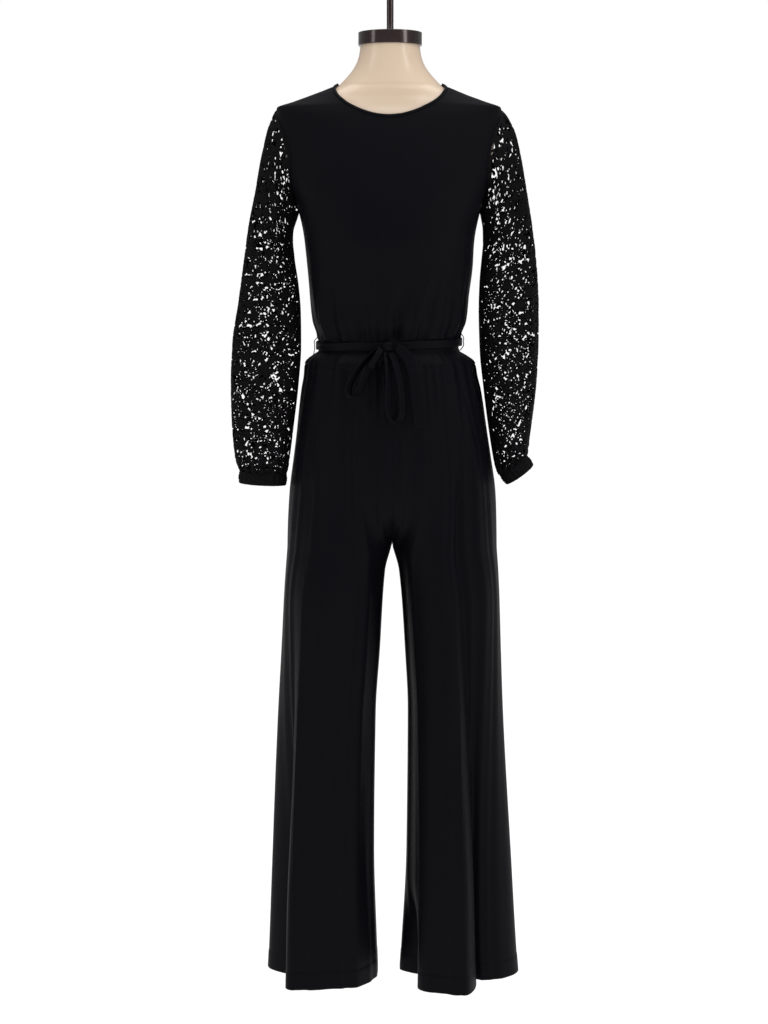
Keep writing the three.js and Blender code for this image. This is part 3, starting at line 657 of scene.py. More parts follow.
def tube_mesh(name, centres, wide, out, width, thick, around, ends=True, square=2.6, crease=None):
    """Flattened tube along a line of points. wide and out are its two sideways directions; crease
    gives how far its skin sinks, by turn round it and share of its length."""
    count = len(centres)
    turn = np.linspace(0, 2 * np.pi, around, endpoint=False)
    cosine, sine = np.cos(turn), np.sin(turn)
    share = (np.abs(cosine) ** square + np.abs(sine) ** square) ** (-1 / square)
    along = np.linspace(0, 1, count)[:, None]
    half_width = np.broadcast_to(np.asarray(width, dtype=float).reshape(-1, 1) / 2, (count, 1))
    half_thick = np.broadcast_to(np.asarray(thick, dtype=float).reshape(-1, 1) / 2, (count, 1))
    sink = np.zeros((count, around)) if crease is None else crease(np.degrees(turn)[None, :], along)
    a = (share * cosine)[None, :] * half_width
    b = (share * sine)[None, :] * (half_thick - sink)
    rings = centres[:, None, :] + a[..., None] * wide[:, None, :] + b[..., None] * out[:, None, :]
    index = np.arange(count * around).reshape(count, around)
    after = np.roll(index, -1, axis=1)
    cells = np.stack([index[:-1], after[:-1], after[1:], index[1:]], axis=-1).reshape(-1, 4)
    if not ends:
        last = np.stack([index[-1], after[-1], after[0], index[0]], axis=-1)
        cells = np.concatenate([cells, last])
    step = np.linalg.norm(np.diff(centres, axis=0), axis=1)
    run = np.concatenate([[0], np.cumsum(step)])
    across = np.linspace(0, 2, around + 1) * float(np.mean(half_width)) * 2
    place = np.stack(np.meshgrid(across, run), axis=-1)
    corners = np.stack([place[:-1, :-1], place[:-1, 1:], place[1:, 1:], place[1:, :-1]], axis=-2)
    corners = corners.reshape(-1, 4, 2)
    if not ends:
        corners = np.concatenate([corners, corners[-around:]])
    obj = mesh_piece(name, rings.reshape(-1, 3), cells, corners, 50)
    shape = bmesh.new()
    shape.from_mesh(obj.data)
    if ends:
        bmesh.ops.holes_fill(shape, edges=[edge for edge in shape.edges if edge.is_boundary])
    bmesh.ops.recalc_face_normals(shape, faces=shape.faces)
    shape.to_mesh(obj.data)
    shape.free()
    return obj


turn = np.linspace(0, 360, BINDING_COLUMNS, endpoint=False)
rim = outline(BODY, turn, neckline_height(turn) + BINDING_HEIGHT / 2 + BINDING_LIFT)
flat = np.stack([np.cos(np.radians(turn)), np.sin(np.radians(turn)), 0 * turn], axis=-1)
rim_along = unit(np.roll(rim, -1, axis=0) - np.roll(rim, 1, axis=0))
lower = outline(BODY, turn, neckline_height(turn) - 2)
rim_wide = rim - lower
rim_wide = unit(rim_wide - rim_along * np.sum(rim_wide * rim_along, axis=-1, keepdims=True))
rim_out = np.cross(rim_along, rim_wide)
binding = tube_mesh("neck_binding_roll", rim, rim_wide, rim_out, BINDING_HEIGHT, BINDING_ROUND,
                    BINDING_AROUND, ends=False)
sewn_piece(binding, "neck_binding", jersey)

# Neck button: a small domed plastic button on the left half of the back, with a turned rim and a
# dished middle, and the worked thread loop that comes over to it from the right half.
BUTTON_RADIUS = 5
BUTTON_HEIGHT = 2.6
BUTTON_X = 8.5
BUTTON_Z = -170
LOOP_WIRE = 1.2
LOOP_SLACK = 1.4

lowest = BUTTON_Z - BUTTON_RADIUS - LOOP_SLACK - LOOP_WIRE
button_seat = float(at(BODY, "back", lowest)) + 0.3
deselect_all()
bpy.ops.mesh.primitive_cylinder_add(
    vertices=48, radius=BUTTON_RADIUS * MM, depth=BUTTON_HEIGHT * MM, rotation=(-math.pi / 2, 0, 0),
    location=(BUTTON_X * MM, (button_seat + BUTTON_HEIGHT / 2) * MM, BUTTON_Z * MM))
button = bpy.context.object
bpy.ops.object.transform_apply(location=True, rotation=True, scale=True)
bpy.ops.object.mode_set(mode="EDIT")
pick_faces(button, lambda centre, normal: normal.y > 0.9)
bpy.ops.mesh.inset(thickness=0.9 * MM)
bpy.ops.mesh.inset(thickness=0.5 * MM)
bpy.ops.transform.translate(value=(0, -0.5 * MM, 0))
bpy.ops.mesh.inset(thickness=1.6 * MM)
bpy.ops.transform.translate(value=(0, -0.2 * MM, 0))
bpy.ops.object.mode_set(mode="OBJECT")
bevel_edges(button, 0.45, 3)
settle(button, "neck_button_disc")


def button_material():
    material, start = new_material("black_button")
    place = start.node("TexCoord", output="Object")
    cloud = start.noise(place, 220.0)
    colour = start.blend(cloud, rgb(16, 15, 17), rgb(30, 28, 32))
    finish_surface(start, {"IOR": 1.49}, cloud, 0.00003, Base_Color=colour, Roughness=0.18 + 0.2 * cloud)
    return material


finish_piece(button, "neck_button", button_material())


def smooth_path(points, count):
    """Evenly spaced points on a soft curve through the given ones."""
    points = np.array(points, dtype=float)
    ends = np.vstack([2 * points[0] - points[1], points, 2 * points[-1] - points[-2]])
    t = np.linspace(0, 1, 24, endpoint=False)[:, None]
    parts = []
    for i in range(1, len(points)):
        a, b, c, d = ends[i - 1:i + 3]
        bend = (2 * a - 5 * b + 4 * c - d) * t ** 2 + (3 * b - a - 3 * c + d) * t ** 3
        parts.append(0.5 * (2 * b + (c - a) * t + bend))
    line = np.vstack([*parts, points[-1:]])
    run = np.concatenate([[0], np.cumsum(np.linalg.norm(np.diff(line, axis=0), axis=1))])
    even = np.linspace(0, run[-1], count)
    return np.stack([np.interp(even, run, line[:, k]) for k in range(3)], axis=-1)


def strap_frame(line, across):
    """The directions across and out of a flat strap along a line."""
    along = unit(np.gradient(line, axis=0))
    wide = np.broadcast_to(np.array(across, dtype=float), line.shape)
    wide = unit(wide - along * np.sum(wide * along, axis=-1, keepdims=True))
    return wide, np.cross(along, wide)


reach_out = BUTTON_RADIUS + LOOP_SLACK
loop_depth = button_seat + LOOP_WIRE / 2 + 0.3
around = np.radians(np.arange(130, -131, -10))
loop_ring = np.stack([BUTTON_X + reach_out * np.cos(around), 0 * around + loop_depth,
                      BUTTON_Z + reach_out * np.sin(around)], axis=-1)
loop_line = smooth_path([(-SLIT_WIDTH, loop_depth, BUTTON_Z + 2.2), *loop_ring,
                         (-SLIT_WIDTH, loop_depth, BUTTON_Z - 2.2)], 90)
loop_wide, loop_out = strap_frame(loop_line, (0, 1, 0))


def twist(turn, along):
    """Shallow grooves that wind round a thread."""
    return 0.09 * (0.5 + 0.5 * np.cos(np.radians(2 * turn) + 150 * along))


thread_loop = tube_mesh("neck_button_thread", loop_line, loop_wide, loop_out, LOOP_WIRE, LOOP_WIRE, 10,
                        square=2, crease=twist)
finish_piece(thread_loop, "neck_button_loop", jersey)

# Trousers: two fronts and two backs of the same jersey, gathered into the waist seam. Each leg is
# wide and hangs from the hip in long flutes; the hem is turned up once and stitched.
CROTCH = -914
RISE_START = -800
LEGS_APART = -1010
HEM = -1669
LEG_DEPTH_MIDDLE = 6
LEG_COLUMNS = 76
LEG_NAMES = "z inner outer front back square"
LEGS = {
    -1: table(LEG_NAMES, [
        (-914, 3, -174, 110, 110, 2.4), (-957, -8, -178, 110, 106, 2.4),
        (-1096, -17, -186, 107, 98, 2.5), (-1202, -24, -192.5, 105, 94, 2.6),
        (-1453, -27, -205, 102, 88, 2.8), (-1635, -22, -213, 101, 86, 3),
        (-1669, -21, -215, 101, 86, 3),
    ]),
    1: table(LEG_NAMES, [
        (-914, 4, 181, 110, 110, 2.4), (-957, 15.5, 185, 110, 106, 2.4),
        (-1096, 26, 190.5, 108, 98, 2.4), (-1202, 31, 195, 107, 94, 2.4),
        (-1453, 29, 211, 110, 90, 2.4), (-1635, 20, 223, 116, 90, 2.4),
        (-1669, 18, 226, 117, 90, 2.4),
    ]),
}
# Folds of each leg. turn runs round the leg: 0 at the inseam, 90 in front, 180 at the outer side and
# 270 behind. A fold spreads before and after its line and grows from start to end.
FOLD_NAMES = ("turn", "turn_low", "before", "after", "start", "end", "height")
LEG_FOLDS = {
    -1: [dict(zip(FOLD_NAMES, row)) for row in [
        (128, 143, 24, 40, -900, -1660, -56), (120, 121, 14, 12, -760, -1250, 5),
        (62, 66, 26, 26, -1050, -1660, -6), (34, 40, 22, 18, -640, -900, -4),
        (52, 58, 10, 10, -620, -760, 3), (300, 306, 26, 20, -900, -1660, -20),
        (222, 214, 20, 30, -1000, -1660, -30), (262, 262, 20, 20, -800, -1400, 6),
        (96, 100, 7, 7, -640, -1100, 1.6), (74, 80, 6, 8, -640, -980, -1.6),
        (20, 24, 6, 7, -650, -860, 1.4), (146, 150, 8, 8, -640, -900, 1.6),
        (108, 110, 6, 6, -1180, -1600, 1.8), (84, 86, 7, 7, -1250, -1640, -1.8),
        (112, 116, 4, 5, -620, -760, 2.2), (132, 136, 4, 5, -620, -760, 2.2),
        (66, 70, 4, 5, -620, -800, 2.0),
        (40, 38, 6, 6, -1350, -1650, 1.6), (244, 240, 8, 8, -660, -1000, 1.8),
        (282, 284, 7, 7, -640, -900, -1.6), (330, 326, 8, 8, -660, -860, 1.5),
    ]],
    1: [dict(zip(FOLD_NAMES, row)) for row in [
        (100, 116, 20, 58, -690, -1660, -58), (82, 86, 12, 10, -660, -1150, 7),
        (30, 32, 30, 22, -1480, -1668, -42), (66, 60, 16, 16, -900, -1500, 5),
        (36, 30, 20, 18, -640, -900, -4), (122, 128, 12, 14, -650, -820, 5),
        (300, 302, 24, 22, -950, -1660, -22), (226, 218, 22, 28, -1050, -1660, -26),
        (266, 264, 20, 20, -820, -1400, 6),
        (54, 50, 5, 6, -640, -960, 1.8), (16, 18, 6, 6, -650, -850, 1.5), (103, 94, 4, 6, -640, -900, 3.4),
        (89, 92, 4, 6, -640, -800, 3.4), (98, 101, 6, 7, -640, -800, -3.0),
        (142, 146, 8, 8, -640, -880, 1.8),
        (106, 110, 4, 5, -620, -760, 2.4), (118, 124, 4, 5, -620, -740, 2.2),
        (130, 136, 4, 5, -630, -760, 2.0),
        (74, 74, 5, 5, -1150, -1600, 1.8), (48, 50, 6, 7, -1200, -1620, -1.8),
        (246, 242, 8, 8, -660, -1000, 1.8), (284, 284, 7, 7, -640, -900, -1.6),
        (328, 324, 8, 8, -660, -860, 1.5),
    ]],
}
HEM_TURN_UP = 31
HEM_GROOVE = 0.5
HEM_THICK = 0.6


def leg_base(side, turn, z):
    """Half of the trousers before its folds. side is 1 for the garment's left leg."""
    rows = LEGS[side]
    in_front = turn <= 180
    body_angle = np.radians(turn / 2)
    sideways, ahead = np.sin(body_angle), -np.cos(body_angle)
    body_deep = np.where(in_front, at(BODY, "front", z), at(BODY, "back", z))
    body_far = reach(sideways, ahead, at(BODY, "half", z), body_deep, at(BODY, "square", z))
    body = np.stack([at(BODY, "middle", z) + side * body_far * sideways, body_far * ahead], axis=-1)
    inner, outer = at(rows, "inner", z), at(rows, "outer", z)
    leg_deep = np.where(in_front, at(rows, "front", z), at(rows, "back", z))
    cosine, sine = np.cos(np.radians(turn)), np.sin(np.radians(turn))
    leg_far = reach(cosine, sine, np.abs(outer - inner) / 2, leg_deep, at(rows, "square", z))
    leg = np.stack([(inner + outer) / 2 - side * leg_far * cosine,
                    LEG_DEPTH_MIDDLE - leg_far * sine], axis=-1)
    inseam = 1 - smooth(0, 55, np.minimum(turn, 360 - turn))
    curve = np.clip((RISE_START - z) / (RISE_START - CROTCH), 0, 1) ** 3
    share = mix(smooth(RISE_START, LEGS_APART, z), curve, inseam)[..., None]
    return mix(body, leg, share)


def leg_point(side, turn, z):
    base = leg_base(side, turn, z)
    ahead = leg_base(side, np.minimum(turn + 1, 360), z) - leg_base(side, np.maximum(turn - 1, 0), z)
    outward = unit(np.stack([side * ahead[..., 1], -side * ahead[..., 0]], axis=-1))
    out = gather(270 + side * turn / 2, z)
    for fold in LEG_FOLDS[side]:
        grown = smooth(fold["start"], fold["end"], z)
        away = turn - mix(fold["turn"], fold["turn_low"], grown)
        spread = np.where(away < 0, fold["before"], fold["after"])
        out = out + fold["height"] * grown * lump(away, spread)
    out = out * smooth(0, 14, np.minimum(turn, 360 - turn))
    above_hem = z - HEM
    stitched = np.exp(-((above_hem - HEM_TURN_UP) / 1.6) ** 2)
    turned = 1 - smooth(HEM_TURN_UP - 1, HEM_TURN_UP + 1, above_hem)
    out = out + HEM_THICK * turned - HEM_GROOVE * stitched
    flat = base + outward * out[..., None]
    return np.concatenate([flat, z[..., None]], axis=-1)


def trouser_panel(name, side, start, end):
    """Panel between two turns of one leg, up to the waist seam."""
    steps = np.concatenate([
        np.linspace(HEM, HEM + HEM_TURN_UP + 4, 12), np.linspace(HEM + HEM_TURN_UP + 12, -1010, 58),
        np.linspace(-1002, -770, 34), np.linspace(-764, WAIST_SEAM - 0.2, 42),
    ])
    gap = np.degrees(FINE / 90)
    shares = np.linspace(0, 1, LEG_COLUMNS + 1)
    shares = shares if side > 0 else 1 - shares
    turn, z = np.meshgrid(start + gap + (end - start - 2 * gap) * shares, steps)
    points = leg_point(side, turn, z)
    seam = at(BODY, "middle", np.maximum(z, CROTCH))
    clear = side * (points[..., 0] - seam)
    points[..., 0] = np.where(clear < FINE, seam + side * FINE, points[..., 0])
    roll = sewn_edges(points, ("left", "right", "high"))
    points = points - normals_of(points) * roll[..., None]
    in_middle = 0 if (side > 0) == (start == 0) else -1
    sewn = points[:, in_middle, 2] > CROTCH - 2
    points[sewn, in_middle, 0] = (seam + side * FINE)[sewn, in_middle]
    obj = cloth_shell(name + "_cloth", points, JERSEY)
    sewn_piece(obj, name, jersey)


for half, start, end in (("front", 0, 180), ("back", 180, 360)):
    for word, side in (("right", -1), ("left", 1)):
        trouser_panel(f"trouser_{half}_{word}", side, start, end)

# Sleeves: a black corded lace of small open flowers, leaves and stems, cut through between them. Each
# is one tube set into the armhole, full down to a narrow cuff, with its seam under the arm.
LACE = 1.2
LACE_CORD = 0.75        # how far the cord round each opening stands up
LACE_CELL = 0.6         # step of the flat pattern
LACE_HALF_WIDTH = 180
LACE_LENGTH = 760
FLOWER_PITCH = 25
FLOWER_ROW = 21.5
FLOWER_JITTER = 3.4
FLOWER_SIZES = (8.2, 11.6)
PETAL_EYE = 1.15
PETAL_SLIT = 0.5
STEM_WIDTH = 1.15
LEAF_LENGTH = 9.5
LEAF_WIDTH = 4.4
LEAF_TILT = 0.7         # radians to each side of the stem
LEAF_SHIFT = 3.4        # how far a leaf of full size stands off the stem
LACE_HEM = 5.5          # plain band at the armhole and the cuff
LACE_SEAM = 3.5
LACE_FULL = 0.13        # how much fuller the cord is than its drawn line
LACE_COLUMNS = 108      # across one half of a sleeve
LACE_ROWS = 336
ARMHOLE_GAP = -1.6
ARMHOLE_BLEND = 1.9
ARMHOLE_SLIDE = 0.44
SLEEVE_PUCKERS = 15
SLEEVE_NAMES = "row outX outZ inX inZ deep forward"
SLEEVES = {
    -1: table(SLEEVE_NAMES, [
        (0, 187, -190, 150, -352, 47, 0), (1, 193, -198, 153, -364, 45, 0),
        (2, 201, -222, 157, -374, 43, 1), (3, 211, -266, 160, -387, 41, 2),
        (4, 222, -323, 161, -407, 38, 4), (5, 235, -382, 159, -436, 36, 6),
        (6, 244, -440, 154, -474, 36, 8), (7, 253, -505, 150, -522, 37, 10),
        (8, 262, -570, 149, -580, 38, 12), (9, 264.5, -640, 153, -645, 38, 14),
        (10, 263, -710, 161, -712, 37, 16), (11, 259, -758, 168, -760, 34, 17),
        (12, 251, -784, 175, -788, 28, 18),
    ]),
    1: table(SLEEVE_NAMES, [
        (0, 184, -190, 148, -352, 47, 0), (1, 192, -198, 151, -364, 45, 0),
        (2, 204, -222, 153, -374, 43, 1), (3, 216, -266, 155, -387, 41, 2),
        (4, 227, -323, 156, -407, 39, 4), (5, 236, -382, 153, -436, 38, 6),
        (6, 242, -440, 149, -474, 38, 8), (7, 245.5, -505, 147, -522, 38, 10),
        (8, 246, -570, 149, -580, 39, 12), (9, 244, -636, 157, -648, 40, 14),
        (10, 239, -694, 167, -714, 40, 16), (11, 234, -734, 176, -764, 38, 17),
        (12, 228, -758, 184, -790, 32, 18),
    ]),
}
# Soft ridge down the front of each sleeve, as the height and the distance out from the middle
SLEEVE_RIDGES = {
    -1: table("z x", [(-190, 184), (-420, 186), (-700, 196)]),
    1: table("z x", [(-200, 203), (-385, 222), (-640, 236), (-760, 220)]),
}
RIDGE_HEIGHT = 3.2
RIDGE_WIDTH = 11


def sleeve_point(side, turn, row):
    """turn is 0 at the outer fold, 90 in front and 180 under the arm; row 0 is at the armhole."""
    rows = SLEEVES[side]
    cosine, sine = np.cos(np.radians(turn)), np.sin(np.radians(turn))
    up = 0.5 + 0.5 * cosine

    def value(name):
        return at(rows, name, row, "row")

    x = mix(value("inX"), value("outX"), up)
    z = mix(value("inZ"), value("outZ"), up)
    ring = np.stack([side * x, -value("forward") - value("deep") * sine, z], axis=-1)
    height = mix(UNDERARM, SHOULDER_TIP, up - ARMHOLE_SLIDE * up * (1 - up))
    inset = armhole_inset(height) * np.where(sine < 0, 1, -1)
    armhole = outline(BODY, inset if side > 0 else 180 - inset, height)
    armhole[..., 0] += side * ARMHOLE_GAP
    share = (1 - np.clip(row / ARMHOLE_BLEND, 0, 1))[..., None]
    return mix(ring, armhole, share)


class LaceCloth:
    """A flat piece of the lace as heights of thread: above 0 is thread, below 0 an opening."""

    def __init__(self):
        self.s = np.arange(-LACE_HALF_WIDTH, LACE_HALF_WIDTH, LACE_CELL)
        self.t = np.arange(0, LACE_LENGTH, LACE_CELL)
        self.thread = np.full((len(self.t), len(self.s)), -2.5)

    def window(self, s, t, far):
        """The part of the cloth within far of a place, and its distances from that place."""
        i = slice(*np.searchsorted(self.s, (s - far, s + far)))
        j = slice(*np.searchsorted(self.t, (t - far, t + far)))
        return (j, i), self.s[None, i] - s, self.t[j, None] - t

    def lay(self, s, t, far, shape):
        where, across, up = self.window(s, t, far)
        if across.size and up.size:
            self.thread[where] = np.maximum(self.thread[where], shape(across, up))

    def cut(self, s, t, far, shape):
        where, across, up = self.window(s, t, far)
        if across.size and up.size:
            self.thread[where] = np.minimum(self.thread[where], shape(across, up))

    def flower(self, s, t, size, petals, start):
        def rim(across, up):
            angle = petals * (np.arctan2(up, across) - start) / 2
            return size * (0.66 + 0.34 * np.abs(np.cos(angle)) ** 0.7) - np.hypot(across, up)

        self.lay(s, t, size + 3, rim)
        for k in range(petals):
            middle = start + 2 * np.pi * k / petals
            eye = 0.60 * size
            self.cut(s + eye * math.cos(middle), t + eye * math.sin(middle), 4, self.drop(middle))
            between = middle + np.pi / petals
            self.cut(s, t, size, self.slit(between, size))

    def drop(self, angle):
        """Drop-shaped eye of a petal, longer away from the middle."""
        def shape(across, up):
            along = across * math.cos(angle) + up * math.sin(angle)
            aside = -across * math.sin(angle) + up * math.cos(angle)
            return np.hypot(along / 1.7, aside) - PETAL_EYE
        return shape

    def slit(self, angle, size):
        """Slit between two petals."""
        def shape(across, up):
            along = across * math.cos(angle) + up * math.sin(angle)
            aside = np.abs(-across * math.sin(angle) + up * math.cos(angle))
            widens = PETAL_SLIT + 0.12 * np.clip(along - 0.4 * size, 0, None)
            return np.where(along < 0.42 * size, 3, aside - widens)
        return shape

    def stem(self, start, end, bow):
        """Curved stem from one place to another."""
        start, end = np.array(start), np.array(end)
        side = np.array([start[1] - end[1], end[0] - start[0]]) * bow
        for share in np.linspace(0, 1, 12):
            s, t = mix(start, end, share) + side * 4 * share * (1 - share)
            self.lay(s, t, 4, lambda across, up: STEM_WIDTH - np.hypot(across, up))

    def leaf(self, s, t, angle, size):
        """Pointed leaf with a slit along its vein."""
        def shape(across, up):
            along = (across * math.cos(angle) + up * math.sin(angle)) / (LEAF_LENGTH * size / 2)
            aside = -across * math.sin(angle) + up * math.cos(angle)
            half = LEAF_WIDTH * size / 2 * np.clip(1 - along ** 2, 0, 1) ** 0.8
            solid = np.where(np.abs(along) < 1, half - np.abs(aside), -2)
            vein = np.where(np.abs(along) < 0.55, np.abs(aside) - 0.35, 3)
            return np.minimum(solid, vein)
        self.lay(s, t, LEAF_LENGTH * size / 2 + 1, shape)


def weave_lace():
    cloth = LaceCloth()
    chance = np.random.default_rng(20)
    rows = int(LACE_LENGTH / FLOWER_ROW) + 1
    columns = int(2 * LACE_HALF_WIDTH / FLOWER_PITCH) + 1
    middles = {}
    for j in range(rows):
        for i in range(columns):
            slip = chance.uniform(-FLOWER_JITTER, FLOWER_JITTER, 2)
            s = -LACE_HALF_WIDTH + (i + 0.5 * (j % 2)) * FLOWER_PITCH + slip[0]
            middles[i, j] = (s, j * FLOWER_ROW + slip[1])
    for (i, j), place in middles.items():
        for near in ((i + 1, j), (i + (j % 2), j + 1), (i - 1 + (j % 2), j + 1)):
            if near in middles:
                cloth.stem(place, middles[near], chance.uniform(-0.22, 0.22))
                chance.uniform()        # this draw is passed over
                slide = chance.uniform(0.40, 0.60)
                s, t = mix(np.array(place), np.array(middles[near]), slide)
                run = math.atan2(middles[near][1] - place[1], middles[near][0] - place[0])
                for tilt in (LEAF_TILT, -LEAF_TILT):
                    size = chance.uniform(0.75, 1.05)
                    shift, away = LEAF_SHIFT * size, run + tilt * 2
                    cloth.leaf(s + shift * math.cos(away), t + shift * math.sin(away), run + tilt, size)
    for place in middles.values():
        size = chance.uniform(*FLOWER_SIZES)
        cloth.flower(*place, size, int(chance.integers(5, 7)), chance.uniform(0, 2 * np.pi))
    return cloth


def lace_threads(cloth, s, t):
    """Thread height at places on the sleeve, read off the flat cloth."""
    i = np.clip((s + LACE_HALF_WIDTH) / LACE_CELL, 0, len(cloth.s) - 1.001)
    j = np.clip(t / LACE_CELL, 0, len(cloth.t) - 1.001)
    i0, j0 = i.astype(int), j.astype(int)
    fi, fj = i - i0, j - j0
    low = mix(cloth.thread[j0, i0], cloth.thread[j0, i0 + 1], fi)
    high = mix(cloth.thread[j0 + 1, i0], cloth.thread[j0 + 1, i0 + 1], fi)
    return mix(low, high, fj)


def join_corners(kept):
    """Fills a cell wherever two cells of lace touch by one corner only."""
    for _ in range(12):
        a, b, c, d = kept[:-1, :-1], kept[:-1, 1:], kept[1:, 1:], kept[1:, :-1]
        rising = a & c & ~b & ~d
        falling = b & d & ~a & ~c
        if not (rising.any() or falling.any()):
            break
        kept[:-1, 1:] |= rising
        kept[:-1, :-1] |= falling
    return kept


def largest_part(kept):
    """Leaves only the cells that hang together with the seams."""
    reached = np.zeros_like(kept)
    reached[-1] = kept[-1]
    while True:
        grown = reached.copy()
        for _ in range(24):
            grown[1:] |= grown[:-1]
            grown[:-1] |= grown[1:]
            grown[:, 1:] |= grown[:, :-1]
            grown[:, :-1] |= grown[:, 1:]
            grown &= kept
        if (grown == reached).all():
            return reached
        reached = grown


def lace_material():
    """Matt black cotton cord with a little lustre on its raised edges."""
    material, start = new_material("black_corded_lace")
    cloth = start.node("UVMap", {"uv_map": "cloth"})
    place = start.node("TexCoord", output="Object")
    wide = start.noise(place, 60.0)
    twist_noise = start.noise(cloth, 1400.0, 3.0)
    thread = start.node("TexWave", {"wave_type": "BANDS", "bands_direction": "DIAGONAL"},
                        {"Vector": cloth, "Scale": 380.0, "Distortion": 6.0, "Detail": 2.0})
    colour = start.blend(wide, rgb(7, 6, 8), rgb(14, 12, 14))
    rough = 0.56 + 0.2 * twist_noise
    fixed = {
        "Specular IOR Level": 0.06,
        "Sheen Weight": 0.003,
        "Sheen Roughness": 0.4,
        "Sheen Tint": rgb(220, 215, 225),
    }
    height = 0.6 * thread + 0.5 * twist_noise
    finish_surface(start, fixed, height, 0.00022, Base_Color=colour, Roughness=rough)
    return material


def kept_near(kept):
    """Points of the grid that touch a kept cell."""
    framed = np.pad(kept, 1)
    return framed[:-1, :-1] | framed[:-1, 1:] | framed[1:, 1:] | framed[1:, :-1]


def sleeve(side, cloth):
    word = "left" if side > 0 else "right"
    dense = np.linspace(0, 12, 500)
    in_front, behind = (sleeve_point(side, np.full(500, turn), dense) for turn in (90.0, -90.0))
    middle_line = (in_front + behind) / 2
    run = np.concatenate([[0], np.cumsum(np.linalg.norm(np.diff(middle_line, axis=0), axis=1))])
    rows = np.interp(np.linspace(run[-1], 0, LACE_ROWS + 1), run, dense)
    turns = np.linspace(-180, 180, 2 * LACE_COLUMNS + 1)
    turns = -turns if side > 0 else turns
    turn, row = np.meshgrid(turns, rows)
    points = sleeve_point(side, turn, row)
    normals = normals_of(points)
    around = np.radians(turn)
    pucker = np.cos(SLEEVE_PUCKERS * around + 1.3 * np.sin(2 * around + side) + 0.8 * np.sin(5 * around))
    out = 2.4 * pucker * smooth(10.4, 11.9, row)
    out += 1.3 * np.sin(3 * around + 0.9 * row + side) * smooth(1.5, 4, row)
    from_ridge = side * points[..., 0] - at(SLEEVE_RIDGES[side], "x", points[..., 2])
    in_front = smooth(0.15, 0.5, np.sin(around))
    ridge = RIDGE_HEIGHT * lump(from_ridge, RIDGE_WIDTH)
    out += ridge * in_front * smooth(0.6, 2, row) * smooth(11.4, 9, row)
    points = points + normals * out[..., None]

    across = lengths(points, 1)
    s = across - across[:, LACE_COLUMNS:LACE_COLUMNS + 1]
    up = lengths(points, 0)
    t = up + (40 if side > 0 else 0)
    thread = lace_threads(cloth, side * s, t)
    edge = np.minimum(up, up[-1:] - up)
    seam = np.minimum(across, across[:, -1:] - across)
    thread = np.maximum(thread + LACE_FULL, np.maximum(LACE_HEM - edge, LACE_SEAM - seam))
    kept = (thread[:-1, :-1] + thread[:-1, 1:] + thread[1:, 1:] + thread[1:, :-1]) > 0
    kept = largest_part(join_corners(kept))

    framed = np.pad(kept, 1, constant_values=True)
    cells = framed[:-1, :-1].astype(int) + framed[:-1, 1:] + framed[1:, 1:] + framed[1:, :-1]
    on_rim = (cells > 0) & (cells < 4)
    slope_j, slope_i = np.gradient(thread)
    step = -thread / np.maximum(slope_i ** 2 + slope_j ** 2, 1e-3)
    step_i = np.where(on_rim, np.clip(step * slope_i, -0.45, 0.45), 0)
    step_j = np.where(on_rim, np.clip(step * slope_j, -0.45, 0.45), 0)
    for edge_line in (0, -1):
        step_j[edge_line] = 0
        step_i[:, edge_line] = 0
    step_i[:, LACE_COLUMNS] = 0
    run_i, run_j = np.gradient(points, axis=1), np.gradient(points, axis=0)
    points = points + step_i[..., None] * run_i + step_j[..., None] * run_j
    cord = LACE_CORD * np.exp(-((np.where(on_rim, 0.3, thread) - 1.1) / 0.9) ** 2)
    cord = np.where(kept_near(kept), cord, 0)

    halves = {"back": (0, LACE_COLUMNS), "front": (LACE_COLUMNS, 2 * LACE_COLUMNS)}
    if side > 0:
        halves = {"front": (0, LACE_COLUMNS), "back": (LACE_COLUMNS, 2 * LACE_COLUMNS)}
    for half, (first, last) in halves.items():
        node = f"sleeve_{word}_{half}"
        grid, high = points[:, first:last + 1], cord[:, first:last + 1]
        obj = cloth_shell(node + "_lace", grid, LACE, kept=kept[:, first:last], raised=high, angle=60)
        sewn_piece(obj, node, lace)


lace = lace_material()
lace_cloth = weave_lace()
for side in (-1, 1):
    sleeve(side, lace_cloth)

# Cuffs: narrow bands of the lace's plain ground, run double over flat elastic, so that they stand in
# small uneven pleats. The foot of the lace is caught into the upper edge.
CUFF_LENGTH = 20
CUFF_START = 0.7        # below the foot of the lace
CUFF_WALL = 2.2
CUFF_SPREAD = 1.05
CUFF_PLEATS = 25
CUFF_PLEAT_HEIGHT = 1.15
CUFF_GROOVES = 4
CUFF_GROOVE = 0.35
CUFF_COLUMNS = 200
CUFF_ROWS = 18


